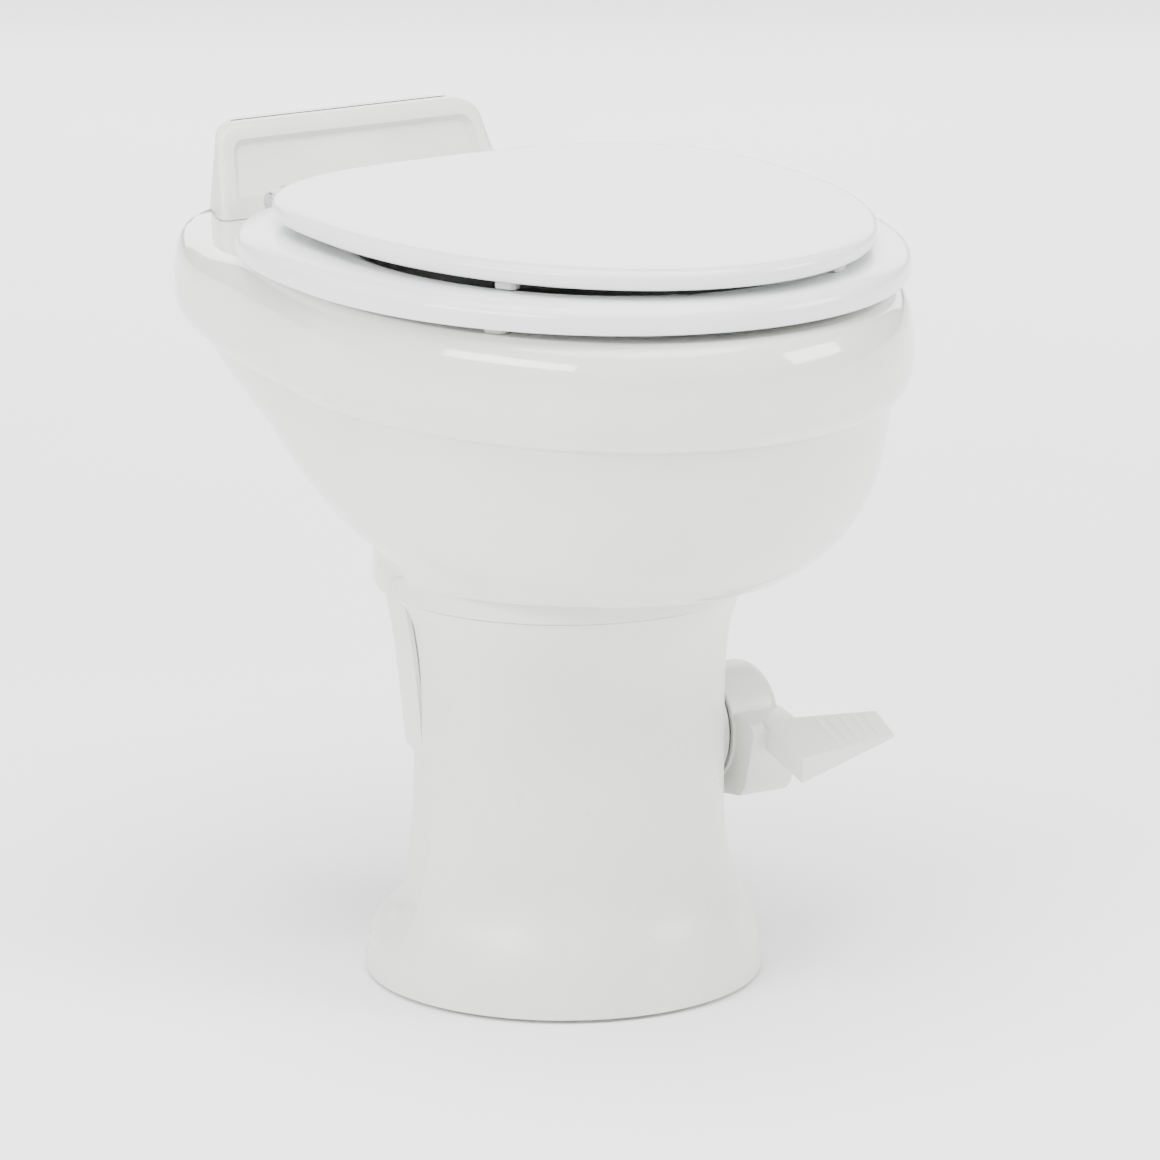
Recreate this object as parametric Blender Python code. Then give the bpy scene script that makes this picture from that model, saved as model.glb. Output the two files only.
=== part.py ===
"""Gravity flush toilet for a motor home: china bowl on a moulded pedestal, slow close
seat and lid, side foot pedal, ball valve, water valve and vacuum breaker.

Metres, +Z up, front towards -Y. The origin is on the floor, on the axis of the outlet.
"""

import bisect
import math

import bmesh
import bpy
from mathutils import Matrix, Vector

# General
GAP = 0.0003
OVERRUN = 0.004
ROUND_STEPS = 32
MIDDLE_STEPS = 24
SMALL_STEPS = 12
SHARP_ANGLE = math.radians(32)

# Pedestal
PEDESTAL_HEIGHT = 0.2475
FOOT_RADIUS = 0.1225
PEDESTAL_WALL = 0.0045
FOOT_PLATE = 0.011
FOOT_SHADOW_GAP = 0.0025
FOOT_RIB_INSET = 0.009
TOP_PLATE = 0.007
GASKET_RECESS = 0.0035
TOP_PLATE_HOLE_RADIUS = 0.061
DROP_TUBE_RADIUS = 0.038
DROP_TUBE_WALL = 0.0045
DROP_TUBE_HEIGHT = 0.0955
FLOOR_SEAL_RADIUS = 0.057
FLOOR_SEAL_HEIGHT = 0.008
SIDE_STEP_START_DEGREES = 0.5
SIDE_STEP_DEGREES = 2.4
SIDE_BLEND_DEGREES = 9.0
# Height share, then radius share, of the front and of the rear of the column
FRONT_COLUMN_SHARES = (
    (0.0, 1.0), (0.045, 0.998), (0.09, 0.984), (0.135, 0.958), (0.18, 0.925), (0.225, 0.885),
    (0.29, 0.843), (0.38, 0.812), (0.56, 0.808), (0.72, 0.810), (0.83, 0.820), (0.90, 0.838),
    (0.95, 0.866), (1.0, 0.918),
)
REAR_COLUMN_SHARES = (
    (0.0, 1.0), (0.045, 0.998), (0.09, 0.982), (0.135, 0.938), (0.18, 0.845), (0.225, 0.796),
    (0.29, 0.782), (0.38, 0.766), (0.56, 0.752), (1.0, 0.752),
)
INSIDE_LEVEL_SHARES = (0.83, 0.56, 0.29, 0.225, 0.18, 0.135)

# Rear shroud, a shell clipped round the back of the column
SHROUD_BOTTOM = 0.147
SHROUD_WALL = 0.003
SHROUD_FIT = 0.0009
SHROUD_RIM_HEIGHT = 0.004
SHROUD_SHARES = ((0.0, 0.796), (0.2, 0.812), (0.45, 0.832), (0.7, 0.856), (0.88, 0.880), (1.0, 0.896))
SHROUD_EDGE_DEGREES = 2.8
SHROUD_STEPS = 20

# Opening in the back of the column, for the hands and the water line
WINDOW_HALF_WIDTH = 0.042
WINDOW_BOTTOM = 0.026
WINDOW_TOP = 0.118

# Floor bolts
FLOOR_BOLT_SPACING = 0.152
FLOOR_BOLT_RADIUS = 0.004
FLOOR_BOLT_STICKOUT = 0.016
FLOOR_NUT_RADIUS = 0.0085
FLOOR_NUT_HEIGHT = 0.007
WASHER_RADIUS = 0.011
WASHER_HEIGHT = 0.0016
FIXING_CLEARANCE = 0.0006

# Ball valve
VALVE_AXIS_HEIGHT = 0.141
BALL_RADIUS = 0.048
BALL_WALL = 0.0035
BALL_CAP_DEGREES = 48.0
BALL_EAR_WIDTH = 0.022
BALL_EAR_THICKNESS = 0.005
BALL_EAR_DROP = 0.008
PIVOT_HEAD_RADIUS = 0.010
PIVOT_HEAD_HEIGHT = 0.003
VALVE_PAD_RADIUS = 0.013
VALVE_SLEEVE_WALL = 0.0035
BALL_CLEARANCE = 0.0025
VALVE_WALL = 0.0055
VALVE_FLOOR = 0.007
VALVE_SLEEVE = 0.008
SEAL_THROAT_RADIUS = 0.0265
SEAL_LIP_RADIUS = 0.031
SEAL_OUTER_RADIUS = 0.046
SEAL_HEIGHT = 0.006
SEAL_CLEARANCE = 0.0004
LEDGE_RADIUS = 0.039
LEDGE_HEIGHT = 0.0045
VALVE_COLLAR_HEIGHT = 0.012

# Pedal shaft, its bushes, spring and cam
SHAFT_RADIUS = 0.006
SHAFT_CLEARANCE = 0.0004
BUSH_WALL = 0.002
BUSH_FLANGE = 0.0035
BUSH_FLANGE_HEIGHT = 0.002
BUSH_INSET = 0.001
SPRING_HOUSING_RADIUS = 0.019
SPRING_HOUSING_WALL = 0.002
SPRING_HOUSING_LENGTH = 0.018
SHAFT_BOSS_RADIUS = 0.034
SPRING_WIRE_RADIUS = 0.0011
SPRING_COIL_RADIUS = 0.0115
SPRING_TURNS = 4
SPRING_PITCH = 0.0028
CAM_WIDTH = 0.006
CAM_RADIUS = 0.013
CAM_LIFT = 0.0042
PEDAL_PRESS_DEGREES = 80.0
CAM_DWELL_DEGREES = 24.0

# Water valve, under the cam
PLUNGER_RADIUS = 0.003
PLUNGER_GAP = 0.0012
PLUNGER_DEPTH = 0.012
WATER_VALVE_RADIUS = 0.0098
WATER_VALVE_BOTTOM = 0.030
WATER_VALVE_TOP = 0.084
WATER_VALVE_BORE = 0.005
WATER_VALVE_END_WALL = 0.008
PORT_BORE_RADIUS = 0.0032
INLET_HEIGHT = 0.044
OUTLET_HEIGHT = 0.068
PORT_RADIUS = 0.0047
PORT_REACH = 0.118
PORT_HOLE_CLEARANCE = 0.0025
INLET_NUT_RADIUS = 0.012
INLET_NUT_LENGTH = 0.016
INLET_NUT_SIDES = 12

# Foot pedal. Heights and depths are measured from the shaft
PEDAL_HUB_RADIUS = 0.036
PEDAL_HUB_LENGTH = 0.038
PEDAL_HUB_WALL = 0.004
PEDAL_END_WALL = 0.008
PEDAL_BOSS_RADIUS = 0.011
PEDAL_STANDOFF = 0.0025
PEDAL_EDGE_RADIUS = 0.010
PEDAL_ARM_INSET = 0.002
PEDAL_ARM_WALL = 0.0035
PEDAL_TREAD_REACH = 0.094
PEDAL_TREAD_END = 0.186
TREAD_ROOT_X = 0.1145
TREAD_WALL = 0.0028
TREAD_POCKETS = 3
TREAD_POCKETS_START_SHARE = 0.34
TREAD_POCKETS_END_SHARE = 0.82
PEDAL_SCREW_RADIUS = 0.0035
PEDAL_SCREW_DEPTH = 0.012
PEDAL_SCREW_HEAD = 0.0075
PEDAL_SCREW_HEAD_HEIGHT = 0.003
# Side outline of the arm, in shares of the hub radius from the shaft
PEDAL_ARM_SHARES = (
    (-0.28, 0.39), (-1.0, 0.36), (-1.42, 0.27), (-1.56, 0.17), (-1.56, 0.05), (-1.11, -0.69),
    (-0.33, -1.0),
)
# Cross section of the tread at the arm and at its end, in shares of its forward reach
TREAD_ROOT_SHARES = ((-0.52, 0.12), (-1.0, -0.03), (-1.0, -0.196), (-0.52, -0.065))
TREAD_END_SHARES = ((-0.717, 0.12), (-0.935, 0.011), (-0.935, -0.011), (-0.717, 0.076))

# Bowl
SEAM = 0.001
BOWL_HEIGHT = 0.1965
DECK_DROP = 0.006
DECK_DROP_START = 0.100
DECK_DROP_END = 0.180
BOWL_HALF_WIDTH = 0.188
BOWL_FRONT_REACH = 0.251
DECK_REACH = 0.298
BOWL_WIDEST_Y = -0.018
COLLAR_RADIUS = 0.1172
COLLAR_HEIGHT = 0.0135
COLLAR_EDGE = 0.0015
SPIGOT_BORE_RADIUS = 0.030
SPIGOT_RADIUS = 0.045
RIM_WIDTH = 0.037
RIM_LIP = 0.009
RIM_LIP_DEPTH = 0.046
RIM_ROOF = 0.009
RIM_EDGE = 0.004
CHANNEL_WIDTH = 0.013
BOWL_INNER_REAR = 0.134
DECK_TAPER_SHARE = 0.18
# Height share from collar to rim, then half width, front and rear reach shares, corner power
BODY_SHARES = (
    (0.018, 0.636, 0.560, 0.403, 2.00),
    (0.050, 0.655, 0.680, 0.440, 2.00),
    (0.110, 0.712, 0.766, 0.490, 2.00),
    (0.165, 0.777, 0.812, 0.562, 2.00),
    (0.220, 0.828, 0.844, 0.630, 2.00),
    (0.335, 0.892, 0.890, 0.750, 2.10),
    (0.445, 0.916, 0.918, 0.850, 2.40),
    (0.560, 0.930, 0.934, 0.938, 3.00),
    (0.645, 0.940, 0.942, 0.960, 3.40),
)
BAND_SHARES = (
    (0.662, 0.963, 0.965, 0.974, 3.60),
    (0.690, 0.985, 0.986, 0.987, 3.90),
    (0.735, 0.998, 0.998, 0.997, 4.00),
    (0.820, 1.000, 1.000, 1.000, 4.00),
    (0.900, 0.993, 0.994, 0.998, 4.00),
    (0.950, 0.978, 0.982, 0.994, 4.00),
    (0.984, 0.955, 0.965, 0.988, 4.00),
    (1.000, 0.925, 0.940, 0.978, 4.00),
)
# Height share below the lip, then half width, front and rear shares of the rim opening
WELL_SHARES = (
    (0.00, 1.120, 1.072, 1.130),
    (0.16, 1.085, 1.045, 1.080),
    (0.34, 1.040, 1.000, 1.010),
    (0.52, 0.950, 0.915, 0.870),
    (0.68, 0.760, 0.745, 0.680),
    (0.82, 0.500, 0.480, 0.450),
    (0.93, 0.300, 0.240, 0.290),
)
# Hollow under the deck, open to the back: height share, then forward wall as a share of the deck's reach
HOLLOW_SHARES = (
    (0.0, 0.370), (0.2, 0.456), (0.47, 0.517), (0.74, 0.545), (0.93, 0.577), (1.0, 0.638),
)
HOLLOW_ABOVE_COLLAR = 0.026
HOLLOW_FLOOR_SLOPE = 0.6
HOLLOW_POCKET_DEPTH = 0.028
HOLLOW_HALF_WIDTH = 0.060
HOLLOW_UPPER_HALF_WIDTH = 0.088
DECK_SLAB = 0.012
DECK_LIP = 0.016

# Bowl gasket and studs
GASKET_INNER_RADIUS = 0.082
GASKET_OUTER_RADIUS = 0.096
STUD_SPACING = 0.144
STUD_RADIUS = 0.004
STUD_HEAD_RADIUS = 0.0075
STUD_HEAD_HEIGHT = 0.005
STUD_POCKET_DEPTH = 0.010
STUD_TAIL = 0.014
STUD_NUT_RADIUS = 0.008
STUD_NUT_HEIGHT = 0.006

# Rear cover
COVER_FRONT_Y = 0.237
COVER_DEPTH = 0.049
COVER_LEAN = 0.024
COVER_HALF_WIDTH = 0.107
COVER_TOP_HALF_WIDTH = 0.0975
COVER_REAR_TAPER_SHARE = 0.17
COVER_HEIGHT = 0.056
COVER_WALL = 0.0025
COVER_CORNER = 0.009
COVER_TOP_ROUNDING = 0.010
COVER_SIDE_ROUNDING = 0.012
COVER_EDGE = 0.005
COVER_PANEL_BORDER = 0.009
COVER_PANEL_SIDE_BORDER = 0.013
COVER_PANEL_CHAMFER = 0.006
COVER_PANEL_DEPTH = 0.0012

# Vacuum breaker, on the deck under the cover
BREAKER_Y = 0.269
BREAKER_LEG_SPACING = 0.056
BREAKER_LEG_TAIL = 0.009
BREAKER_BRIDGE_HEIGHT = 0.009
BREAKER_BRIDGE_DEPTH = 0.016
BREAKER_RADIUS = 0.010
BREAKER_WALL = 0.002
BREAKER_HEIGHT = 0.024
BREAKER_BORE_RADIUS = 0.003
BREAKER_CAP_HEIGHT = 0.005
BREAKER_CAP_PLUG = 0.004
FLOAT_CLEARANCE = 0.0006
FLOAT_HEIGHT = 0.007
ELBOW_REACH = 0.024
HOSE_RADIUS = 0.0065
# Route of the supply hose: share of the water valve's offset, of the deck's reach and of the climb
HOSE_ROUTE_SHARES = (
    (1.00, 0.513, 0.042), (0.99, 0.564, 0.145), (0.93, 0.547, 0.300), (0.81, 0.520, 0.460),
    (0.71, 0.530, 0.580), (0.62, 0.587, 0.700), (0.53, 0.690, 0.800), (0.47, 0.800, 0.880),
    (0.455, 0.875, 0.950),
)
HOSE_SIDES = 8
RIM_INLET_RADIUS = 0.0075
RIM_INLET_BELOW_DECK = 0.030
GROMMET_SPIGOT = 0.008
GROMMET_FLANGE = 0.003
GROMMET_FLANGE_HEIGHT = 0.003
GROMMET_BORE_RADIUS = 0.0032
CLAMP_WALL = 0.0014
CLAMP_WIDTH = 0.007
HOSE_OVERLAP = 0.014
CLAMP_CLEARANCE = 0.0005

# Seat
SEAT_BUMPER_HEIGHT = 0.0048
SEAT_THICKNESS = 0.018
SEAT_OVERHANG = 0.0025
SEAT_SETBACK = 0.011
SEAT_REAR_REACH = 0.180
SEAT_RING_WIDTH = 0.056
SEAT_REAR_POWER = 2.7
SEAT_OPENING_REAR = 0.104
# Height share, then inward share of the ring width
SEAT_SECTION_SHARES = (
    (0.0, 0.06), (0.22, 0.0), (0.52, 0.0), (0.78, 0.055), (0.94, 0.17), (1.0, 0.33),
    (0.93, 0.60), (0.72, 0.90), (0.45, 1.0), (0.14, 0.99), (0.0, 0.93),
)

# Lid
LID_BUMPER_HEIGHT = 0.0048
LID_THICKNESS = 0.013
LID_SIDE_SETBACK = 0.024
LID_FRONT_SETBACK = 0.0095
LID_REAR_REACH = 0.148
LID_WIDEST_Y = -0.0075
LID_REAR_POWER = 3.0
LID_EDGE = 0.0048
LID_LIP = 0.022
LID_RECESS = 0.005
LID_EDGE_SHARES = ((0.0, 1.0), (0.12, 0.4), (0.34, 0.0), (0.62, 0.0), (0.86, 0.42), (1.0, 1.3))

# Bumpers, as places on the outline: degrees round from the right side, and inset
BUMPER_LENGTH = 0.014
BUMPER_WIDTH = 0.009
SEAT_BUMPER_DEGREES = (-142.0, -38.0, 148.0, 32.0)
SEAT_BUMPER_INSET = 0.020
LID_BUMPER_DEGREES = (-143.0, -62.0, 150.0, 30.0)
LID_BUMPER_INSET = 0.014

# Seat hinge
HINGE_SPACING = 0.140
HINGE_Y = 0.205
HINGE_AXIS_ABOVE_DECK = 0.017
HINGE_PIN_RADIUS = 0.004
HINGE_PIN_CLEARANCE = 0.0004
HINGE_POST_WIDTH = 0.016
HINGE_POST_RADIUS = 0.0095
HINGE_FOOT_RADIUS = 0.016
HINGE_FOOT_HEIGHT = 0.004
HINGE_EYE_RADIUS = 0.008
HINGE_ARM_WIDTH = 0.009
HINGE_ARM_GAP = 0.0006
HINGE_PIN_HEAD_RADIUS = 0.006
HINGE_PIN_HEAD = 0.002
HINGE_BOLT_RADIUS = 0.004
HINGE_BOLT_TAIL = 0.018
HINGE_BOLT_SOCKET = 0.004
HINGE_NUT_RADIUS = 0.0105
HINGE_NUT_HEIGHT = 0.008
ARM_ROOT_OVERLAP = 0.012
ARM_THICKNESS = 0.010
LID_ARM_STEP = 0.014
LID_ARM_BEND = 0.008
LID_ARM_CLEARANCE = 0.0018


def material(name, rgb, roughness, metallic=0.0):
    """A Principled material of one colour."""
    made = bpy.data.materials.new(name)
    made.use_nodes = True
    shader = made.node_tree.nodes["Principled BSDF"]
    shader.inputs["Base Color"].default_value = (*rgb, 1.0)
    shader.inputs["Roughness"].default_value = roughness
    shader.inputs["Metallic"].default_value = metallic
    return made


def new_object(name, mesh, finish):
    """Put a mesh in the scene under its own name, with its own copy of a finish."""
    thing = bpy.data.objects.new(name, mesh)
    bpy.context.scene.collection.objects.link(thing)
    if finish:
        own = finish.copy()
        own.name = name + "_finish"
        mesh.materials.append(own)
    return thing


def finish_mesh(name, shape, finish):
    """Turn a bmesh into a smooth shaded object with its faces pointing out."""
    bmesh.ops.recalc_face_normals(shape, faces=shape.faces)
    mesh = bpy.data.meshes.new(name)
    shape.to_mesh(mesh)
    shape.free()
    mesh.shade_smooth()
    mesh.set_sharp_from_angle(angle=SHARP_ANGLE)
    return new_object(name, mesh, finish)


def loft(name, loops, finish, ring=False):
    """Skin loops of equal length. A ring joins its last loop to its first, else ends are capped."""
    shape = bmesh.new()
    rows = [[shape.verts.new(point) for point in loop] for loop in loops]
    pairs = list(zip(rows, rows[1:]))
    if ring:
        pairs.append((rows[-1], rows[0]))
    else:
        shape.faces.new(list(reversed(rows[0])))
        shape.faces.new(rows[-1])
    for low, high in pairs:
        count = len(low)
        for i in range(count):
            j = (i + 1) % count
            shape.faces.new((low[i], low[j], high[j], high[i]))
    return finish_mesh(name, shape, finish)


def turning(axis, centre):
    """The matrix that lays a profile turned about Z along another axis."""
    turn = {
        "X": Matrix.Rotation(math.radians(90), 4, "Y"),
        "Y": Matrix.Rotation(math.radians(-90), 4, "X"),
        "Z": Matrix.Identity(4),
    }[axis]
    return Matrix.Translation(centre) @ turn


def turned(name, profile, finish, axis="Z", centre=(0, 0, 0), steps=SMALL_STEPS, ring=False):
    """Turn a profile of (radius, height) points. A ring profile closes on itself."""
    place = turning(axis, Vector(centre))
    loops = []
    for radius, height in profile:
        loop = []
        for i in range(steps):
            angle = math.tau * i / steps
            loop.append(place @ Vector((radius * math.cos(angle), radius * math.sin(angle), height)))
        loops.append(loop)
    return loft(name, loops, finish, ring)


def rod(name, radius, low, high, finish, axis="Z", centre=(0, 0, 0), steps=SMALL_STEPS):
    """A plain cylinder between two heights along its axis."""
    return turned(name, ((radius, low), (radius, high)), finish, axis, centre, steps)


def sleeve(name, inner, outer, low, high, finish, axis="Z", centre=(0, 0, 0), steps=SMALL_STEPS):
    """A plain tube between two heights along its axis."""
    profile = ((inner, low), (outer, low), (outer, high), (inner, high))
    return turned(name, profile, finish, axis, centre, steps, ring=True)


def prism(name, points, low, high, finish, axis="X"):
    """Extrude an outline along X (points are y, z), Y (x, z) or Z (x, y)."""
    place = {
        "X": lambda along, u, v: (along, u, v),
        "Y": lambda along, u, v: (u, along, v),
        "Z": lambda along, u, v: (u, v, along),
    }[axis]
    loops = [[Vector(place(along, u, v)) for u, v in points] for along in (low, high)]
    return loft(name, loops, finish)


def block(name, low, high, finish):
    """A box between two corners."""
    (x0, y0, z0), (x1, y1, z1) = low, high
    return prism(name, ((x0, y0), (x1, y0), (x1, y1), (x0, y1)), z0, z1, finish, "Z")


def arc(radius, centre, start, end, steps):
    """Points on an arc of a circle, angles in degrees."""
    points = []
    for i in range(steps + 1):
        angle = math.radians(start + (end - start) * i / steps)
        points.append((centre[0] + radius * math.cos(angle), centre[1] + radius * math.sin(angle)))
    return points


def tool(thing):
    """Keep a cutter out of the picture."""
    thing.hide_render = True
    thing.display_type = "WIRE"
    return thing


def combine(target, other, operation):
    step = target.modifiers.new(operation.lower(), "BOOLEAN")
    step.operation = operation
    step.solver = "EXACT"
    step.object = tool(other)


def cut(target, *cutters):
    for cutter in cutters:
        combine(target, cutter, "DIFFERENCE")


def add(target, *pieces):
    for piece in pieces:
        combine(target, piece, "UNION")


def egg_point(angle, half_width, front, rear, middle, rear_power=2.0, taper=0.0):
    """A point of a level outline: half an ellipse in front, half a superellipse behind."""
    c, s = math.cos(angle), math.sin(angle)
    power = rear_power if s > 0 else 2.0
    reach = rear - middle if s > 0 else front + middle
    across = math.copysign(abs(c) ** (2 / power), c)
    along = math.copysign(abs(s) ** (2 / power), s)
    return half_width * across * (1 - taper * max(along, 0)), middle + reach * along


def egg(height, *shape):
    """A level loop of such points."""
    angles = [math.tau * i / ROUND_STEPS for i in range(ROUND_STEPS)]
    return [Vector((*egg_point(angle, *shape), height)) for angle in angles]


def read_shares(table, place):
    """Straight line reading of a table of (place, value) shares."""
    places = [row[0] for row in table]
    i = min(max(bisect.bisect_right(places, place), 1), len(table) - 1)
    (p0, v0), (p1, v1) = table[i - 1], table[i]
    t = min(max((place - p0) / (p1 - p0), 0), 1)
    return v0 + (v1 - v0) * t


def ease(value):
    t = min(max(value, 0), 1)
    return t * t * (3 - 2 * t)


# Heights and places that follow from the sizes above
SHROUD_TOP = PEDESTAL_HEIGHT - SHROUD_RIM_HEIGHT - 2 * GAP
SEAT_FACE = PEDESTAL_HEIGHT + SEAM
RIM_HEIGHT = SEAT_FACE + BOWL_HEIGHT
DECK_HEIGHT = RIM_HEIGHT - DECK_DROP
COLLAR_TOP = SEAT_FACE + COLLAR_HEIGHT
WELL_BOTTOM = COLLAR_TOP
HOLLOW_BOTTOM = COLLAR_TOP + HOLLOW_ABOVE_COLLAR
BALL_TOUCH = BALL_RADIUS + SEAL_CLEARANCE
SEAL_BOTTOM = VALVE_AXIS_HEIGHT + math.sqrt(BALL_TOUCH**2 - SEAL_LIP_RADIUS**2)
SEAL_LIP_TOP = VALVE_AXIS_HEIGHT + math.sqrt(BALL_TOUCH**2 - SEAL_THROAT_RADIUS**2)
SEAL_TOP = SEAL_BOTTOM + SEAL_HEIGHT
SPIGOT_BOTTOM = SEAL_TOP + GAP
VALVE_CAVITY_RADIUS = BALL_RADIUS + BALL_CLEARANCE
VALVE_RADIUS = VALVE_CAVITY_RADIUS + VALVE_WALL
VALVE_BOTTOM = DROP_TUBE_HEIGHT + GAP
TUBE_OUTER_RADIUS = DROP_TUBE_RADIUS + DROP_TUBE_WALL
LEDGE_TOP = SEAL_BOTTOM - GAP
VALVE_TOP = SEAL_TOP + VALVE_COLLAR_HEIGHT
SEAT_HALF_WIDTH = BOWL_HALF_WIDTH + SEAT_OVERHANG
SEAT_FRONT_REACH = BOWL_FRONT_REACH - SEAT_SETBACK
LID_HALF_WIDTH = SEAT_HALF_WIDTH - LID_SIDE_SETBACK
LID_FRONT_REACH = SEAT_FRONT_REACH - LID_FRONT_SETBACK
SEAT_BOTTOM = RIM_HEIGHT + SEAT_BUMPER_HEIGHT + 2 * GAP
SEAT_TOP = SEAT_BOTTOM + SEAT_THICKNESS
LID_BOTTOM = SEAT_TOP + LID_BUMPER_HEIGHT + 2 * GAP
LID_TOP = LID_BOTTOM + LID_THICKNESS
COVER_TOP = DECK_HEIGHT + COVER_HEIGHT
HINGE_AXIS = DECK_HEIGHT + HINGE_AXIS_ABOVE_DECK
FLOOR_BOLT_X = FLOOR_BOLT_SPACING / 2
STUD_X = STUD_SPACING / 2
SHAFT_BORE = SHAFT_RADIUS + SHAFT_CLEARANCE
SHAFT_START = BALL_RADIUS - BALL_EAR_THICKNESS + GAP
BUSH_START = VALVE_RADIUS + GAP
BUSH_END = BUSH_START + BUSH_FLANGE_HEIGHT
CAM_START = BUSH_END + GAP
CAM_END = CAM_START + CAM_WIDTH
WATER_VALVE_X = (CAM_START + CAM_END) / 2
HOUSING_START = CAM_END + GAP
HOUSING_END = HOUSING_START + SPRING_HOUSING_LENGTH
CAM_BOTTOM = VALVE_AXIS_HEIGHT - CAM_RADIUS
HOSE_BORE = PORT_RADIUS + 2 * GAP
LEG_X = BREAKER_LEG_SPACING / 2
LIP_BOTTOM = RIM_HEIGHT - RIM_LIP_DEPTH
DECK_UNDERSIDE = DECK_HEIGHT - DECK_SLAB
POCKET_FLOOR = DECK_UNDERSIDE - HOLLOW_POCKET_DEPTH
POCKET_FRONT = DECK_REACH * HOLLOW_SHARES[-1][1]
RIM_INLET_HEIGHT = DECK_HEIGHT - RIM_INLET_BELOW_DECK
LEG_BOTTOM = DECK_UNDERSIDE - BREAKER_LEG_TAIL
BRIDGE_TOP = DECK_HEIGHT + GAP + BREAKER_BRIDGE_HEIGHT
BREAKER_BORE_HEIGHT = DECK_HEIGHT + GAP + BREAKER_BRIDGE_HEIGHT / 2
CHAMBER_TOP = BRIDGE_TOP + BREAKER_HEIGHT
CHAMBER_RADIUS = BREAKER_RADIUS - BREAKER_WALL
POST_SIDE = HINGE_POST_WIDTH / 2 + HINGE_ARM_GAP
HINGE_X = HINGE_SPACING / 2


def shroud_radius(height):
    return FOOT_RADIUS * read_shares(SHROUD_SHARES, (height - SHROUD_BOTTOM) / (SHROUD_TOP - SHROUD_BOTTOM))


def column_radius(angle, height):
    """Outer radius of the pedestal. Its back is flatter, and is let in where the shroud lies on it."""
    share = height / PEDESTAL_HEIGHT
    front = FOOT_RADIUS * read_shares(FRONT_COLUMN_SHARES, share)
    behind = math.degrees(math.asin(math.sin(angle)))
    if height > SHROUD_BOTTOM:
        rear = shroud_radius(height) - SHROUD_WALL - SHROUD_FIT
        turn = (behind - SIDE_STEP_START_DEGREES) / (SIDE_STEP_DEGREES - SIDE_STEP_START_DEGREES)
    else:
        rear = FOOT_RADIUS * read_shares(REAR_COLUMN_SHARES, share)
        turn = (behind + SIDE_BLEND_DEGREES) / (2 * SIDE_BLEND_DEGREES)
    return front + (rear - front) * ease(turn)


PEDAL_INNER_X = PEDAL_STANDOFF + FOOT_RADIUS * read_shares(
    FRONT_COLUMN_SHARES, VALVE_AXIS_HEIGHT / PEDESTAL_HEIGHT
)
PEDAL_OUTER_X = PEDAL_INNER_X + PEDAL_HUB_LENGTH


def column_angles():
    """Even steps, with closer ones on both sides, where the column is let in for the shroud."""
    even = [math.tau * (i + 0.5) / ROUND_STEPS for i in range(ROUND_STEPS)]
    first, last = math.radians(SIDE_STEP_START_DEGREES), math.radians(SIDE_STEP_DEGREES)
    return sorted(even + [first, last, math.pi - last, math.pi - first])


def column_loop(height, inset, angles):
    loop = []
    for angle in angles:
        radius = column_radius(angle, height) - inset
        loop.append(Vector((radius * math.cos(angle), radius * math.sin(angle), height)))
    return loop


def round_loop(radius, height, angles):
    return [Vector((radius * math.cos(a), radius * math.sin(a), height)) for a in angles]


def hang(name, place, *pieces):
    """Hang pieces from an empty on their joint's axis."""
    pivot = bpy.data.objects.new(name, None)
    bpy.context.scene.collection.objects.link(pivot)
    pivot.location = place
    for piece in pieces:
        piece.parent = pivot
        piece.matrix_parent_inverse = Matrix.Translation(-Vector(place))
    return pivot


def shell(name, outer, inner, finish):
    """Close two matching grids of points into a sheet with an even edge."""
    shape = bmesh.new()
    out = [[shape.verts.new(point) for point in row] for row in outer]
    back = [[shape.verts.new(point) for point in row] for row in inner]
    last_row, last = len(out) - 1, len(out[0]) - 1
    for r in range(last_row):
        for c in range(last):
            shape.faces.new((out[r][c], out[r][c + 1], out[r + 1][c + 1], out[r + 1][c]))
            shape.faces.new((back[r][c], back[r + 1][c], back[r + 1][c + 1], back[r][c + 1]))
        for c in (0, last):
            shape.faces.new((out[r][c], out[r + 1][c], back[r + 1][c], back[r][c]))
    for c in range(last):
        for r in (0, last_row):
            shape.faces.new((out[r][c], out[r][c + 1], back[r][c + 1], back[r][c]))
    return finish_mesh(name, shape, finish)


def nut(name, radius, bore, low, high, finish, axis="Z", centre=(0, 0, 0), sides=6):
    """A nut with a plain round hole."""
    made = rod(name, radius, low, high, finish, axis, centre, sides)
    cut(made, rod(name + "_bore", bore, low - OVERRUN, high + OVERRUN, None, axis, centre, SMALL_STEPS))
    return made


def smooth_path(points, steps):
    """A smooth curve through all the points, even where they are unevenly spaced."""
    points = [Vector(p) for p in points]
    spans = [b - a for a, b in zip(points, points[1:])]
    headings = [spans[0].normalized()]
    for before, after in zip(spans, spans[1:]):
        near, far = before.length, after.length
        headings.append((before * far / near + after * near / far) / (near + far))
    headings.append(spans[-1].normalized())
    path = []
    for i, span in enumerate(spans):
        for k in range(steps):
            t = k / steps
            path.append(points[i] * (2 * t**3 - 3 * t**2 + 1) + points[i + 1] * (3 * t**2 - 2 * t**3)
                        + headings[i] * span.length * (t**3 - 2 * t**2 + t)
                        + headings[i + 1] * span.length * (t**3 - t**2))
    return path + [points[-1]]


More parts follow.
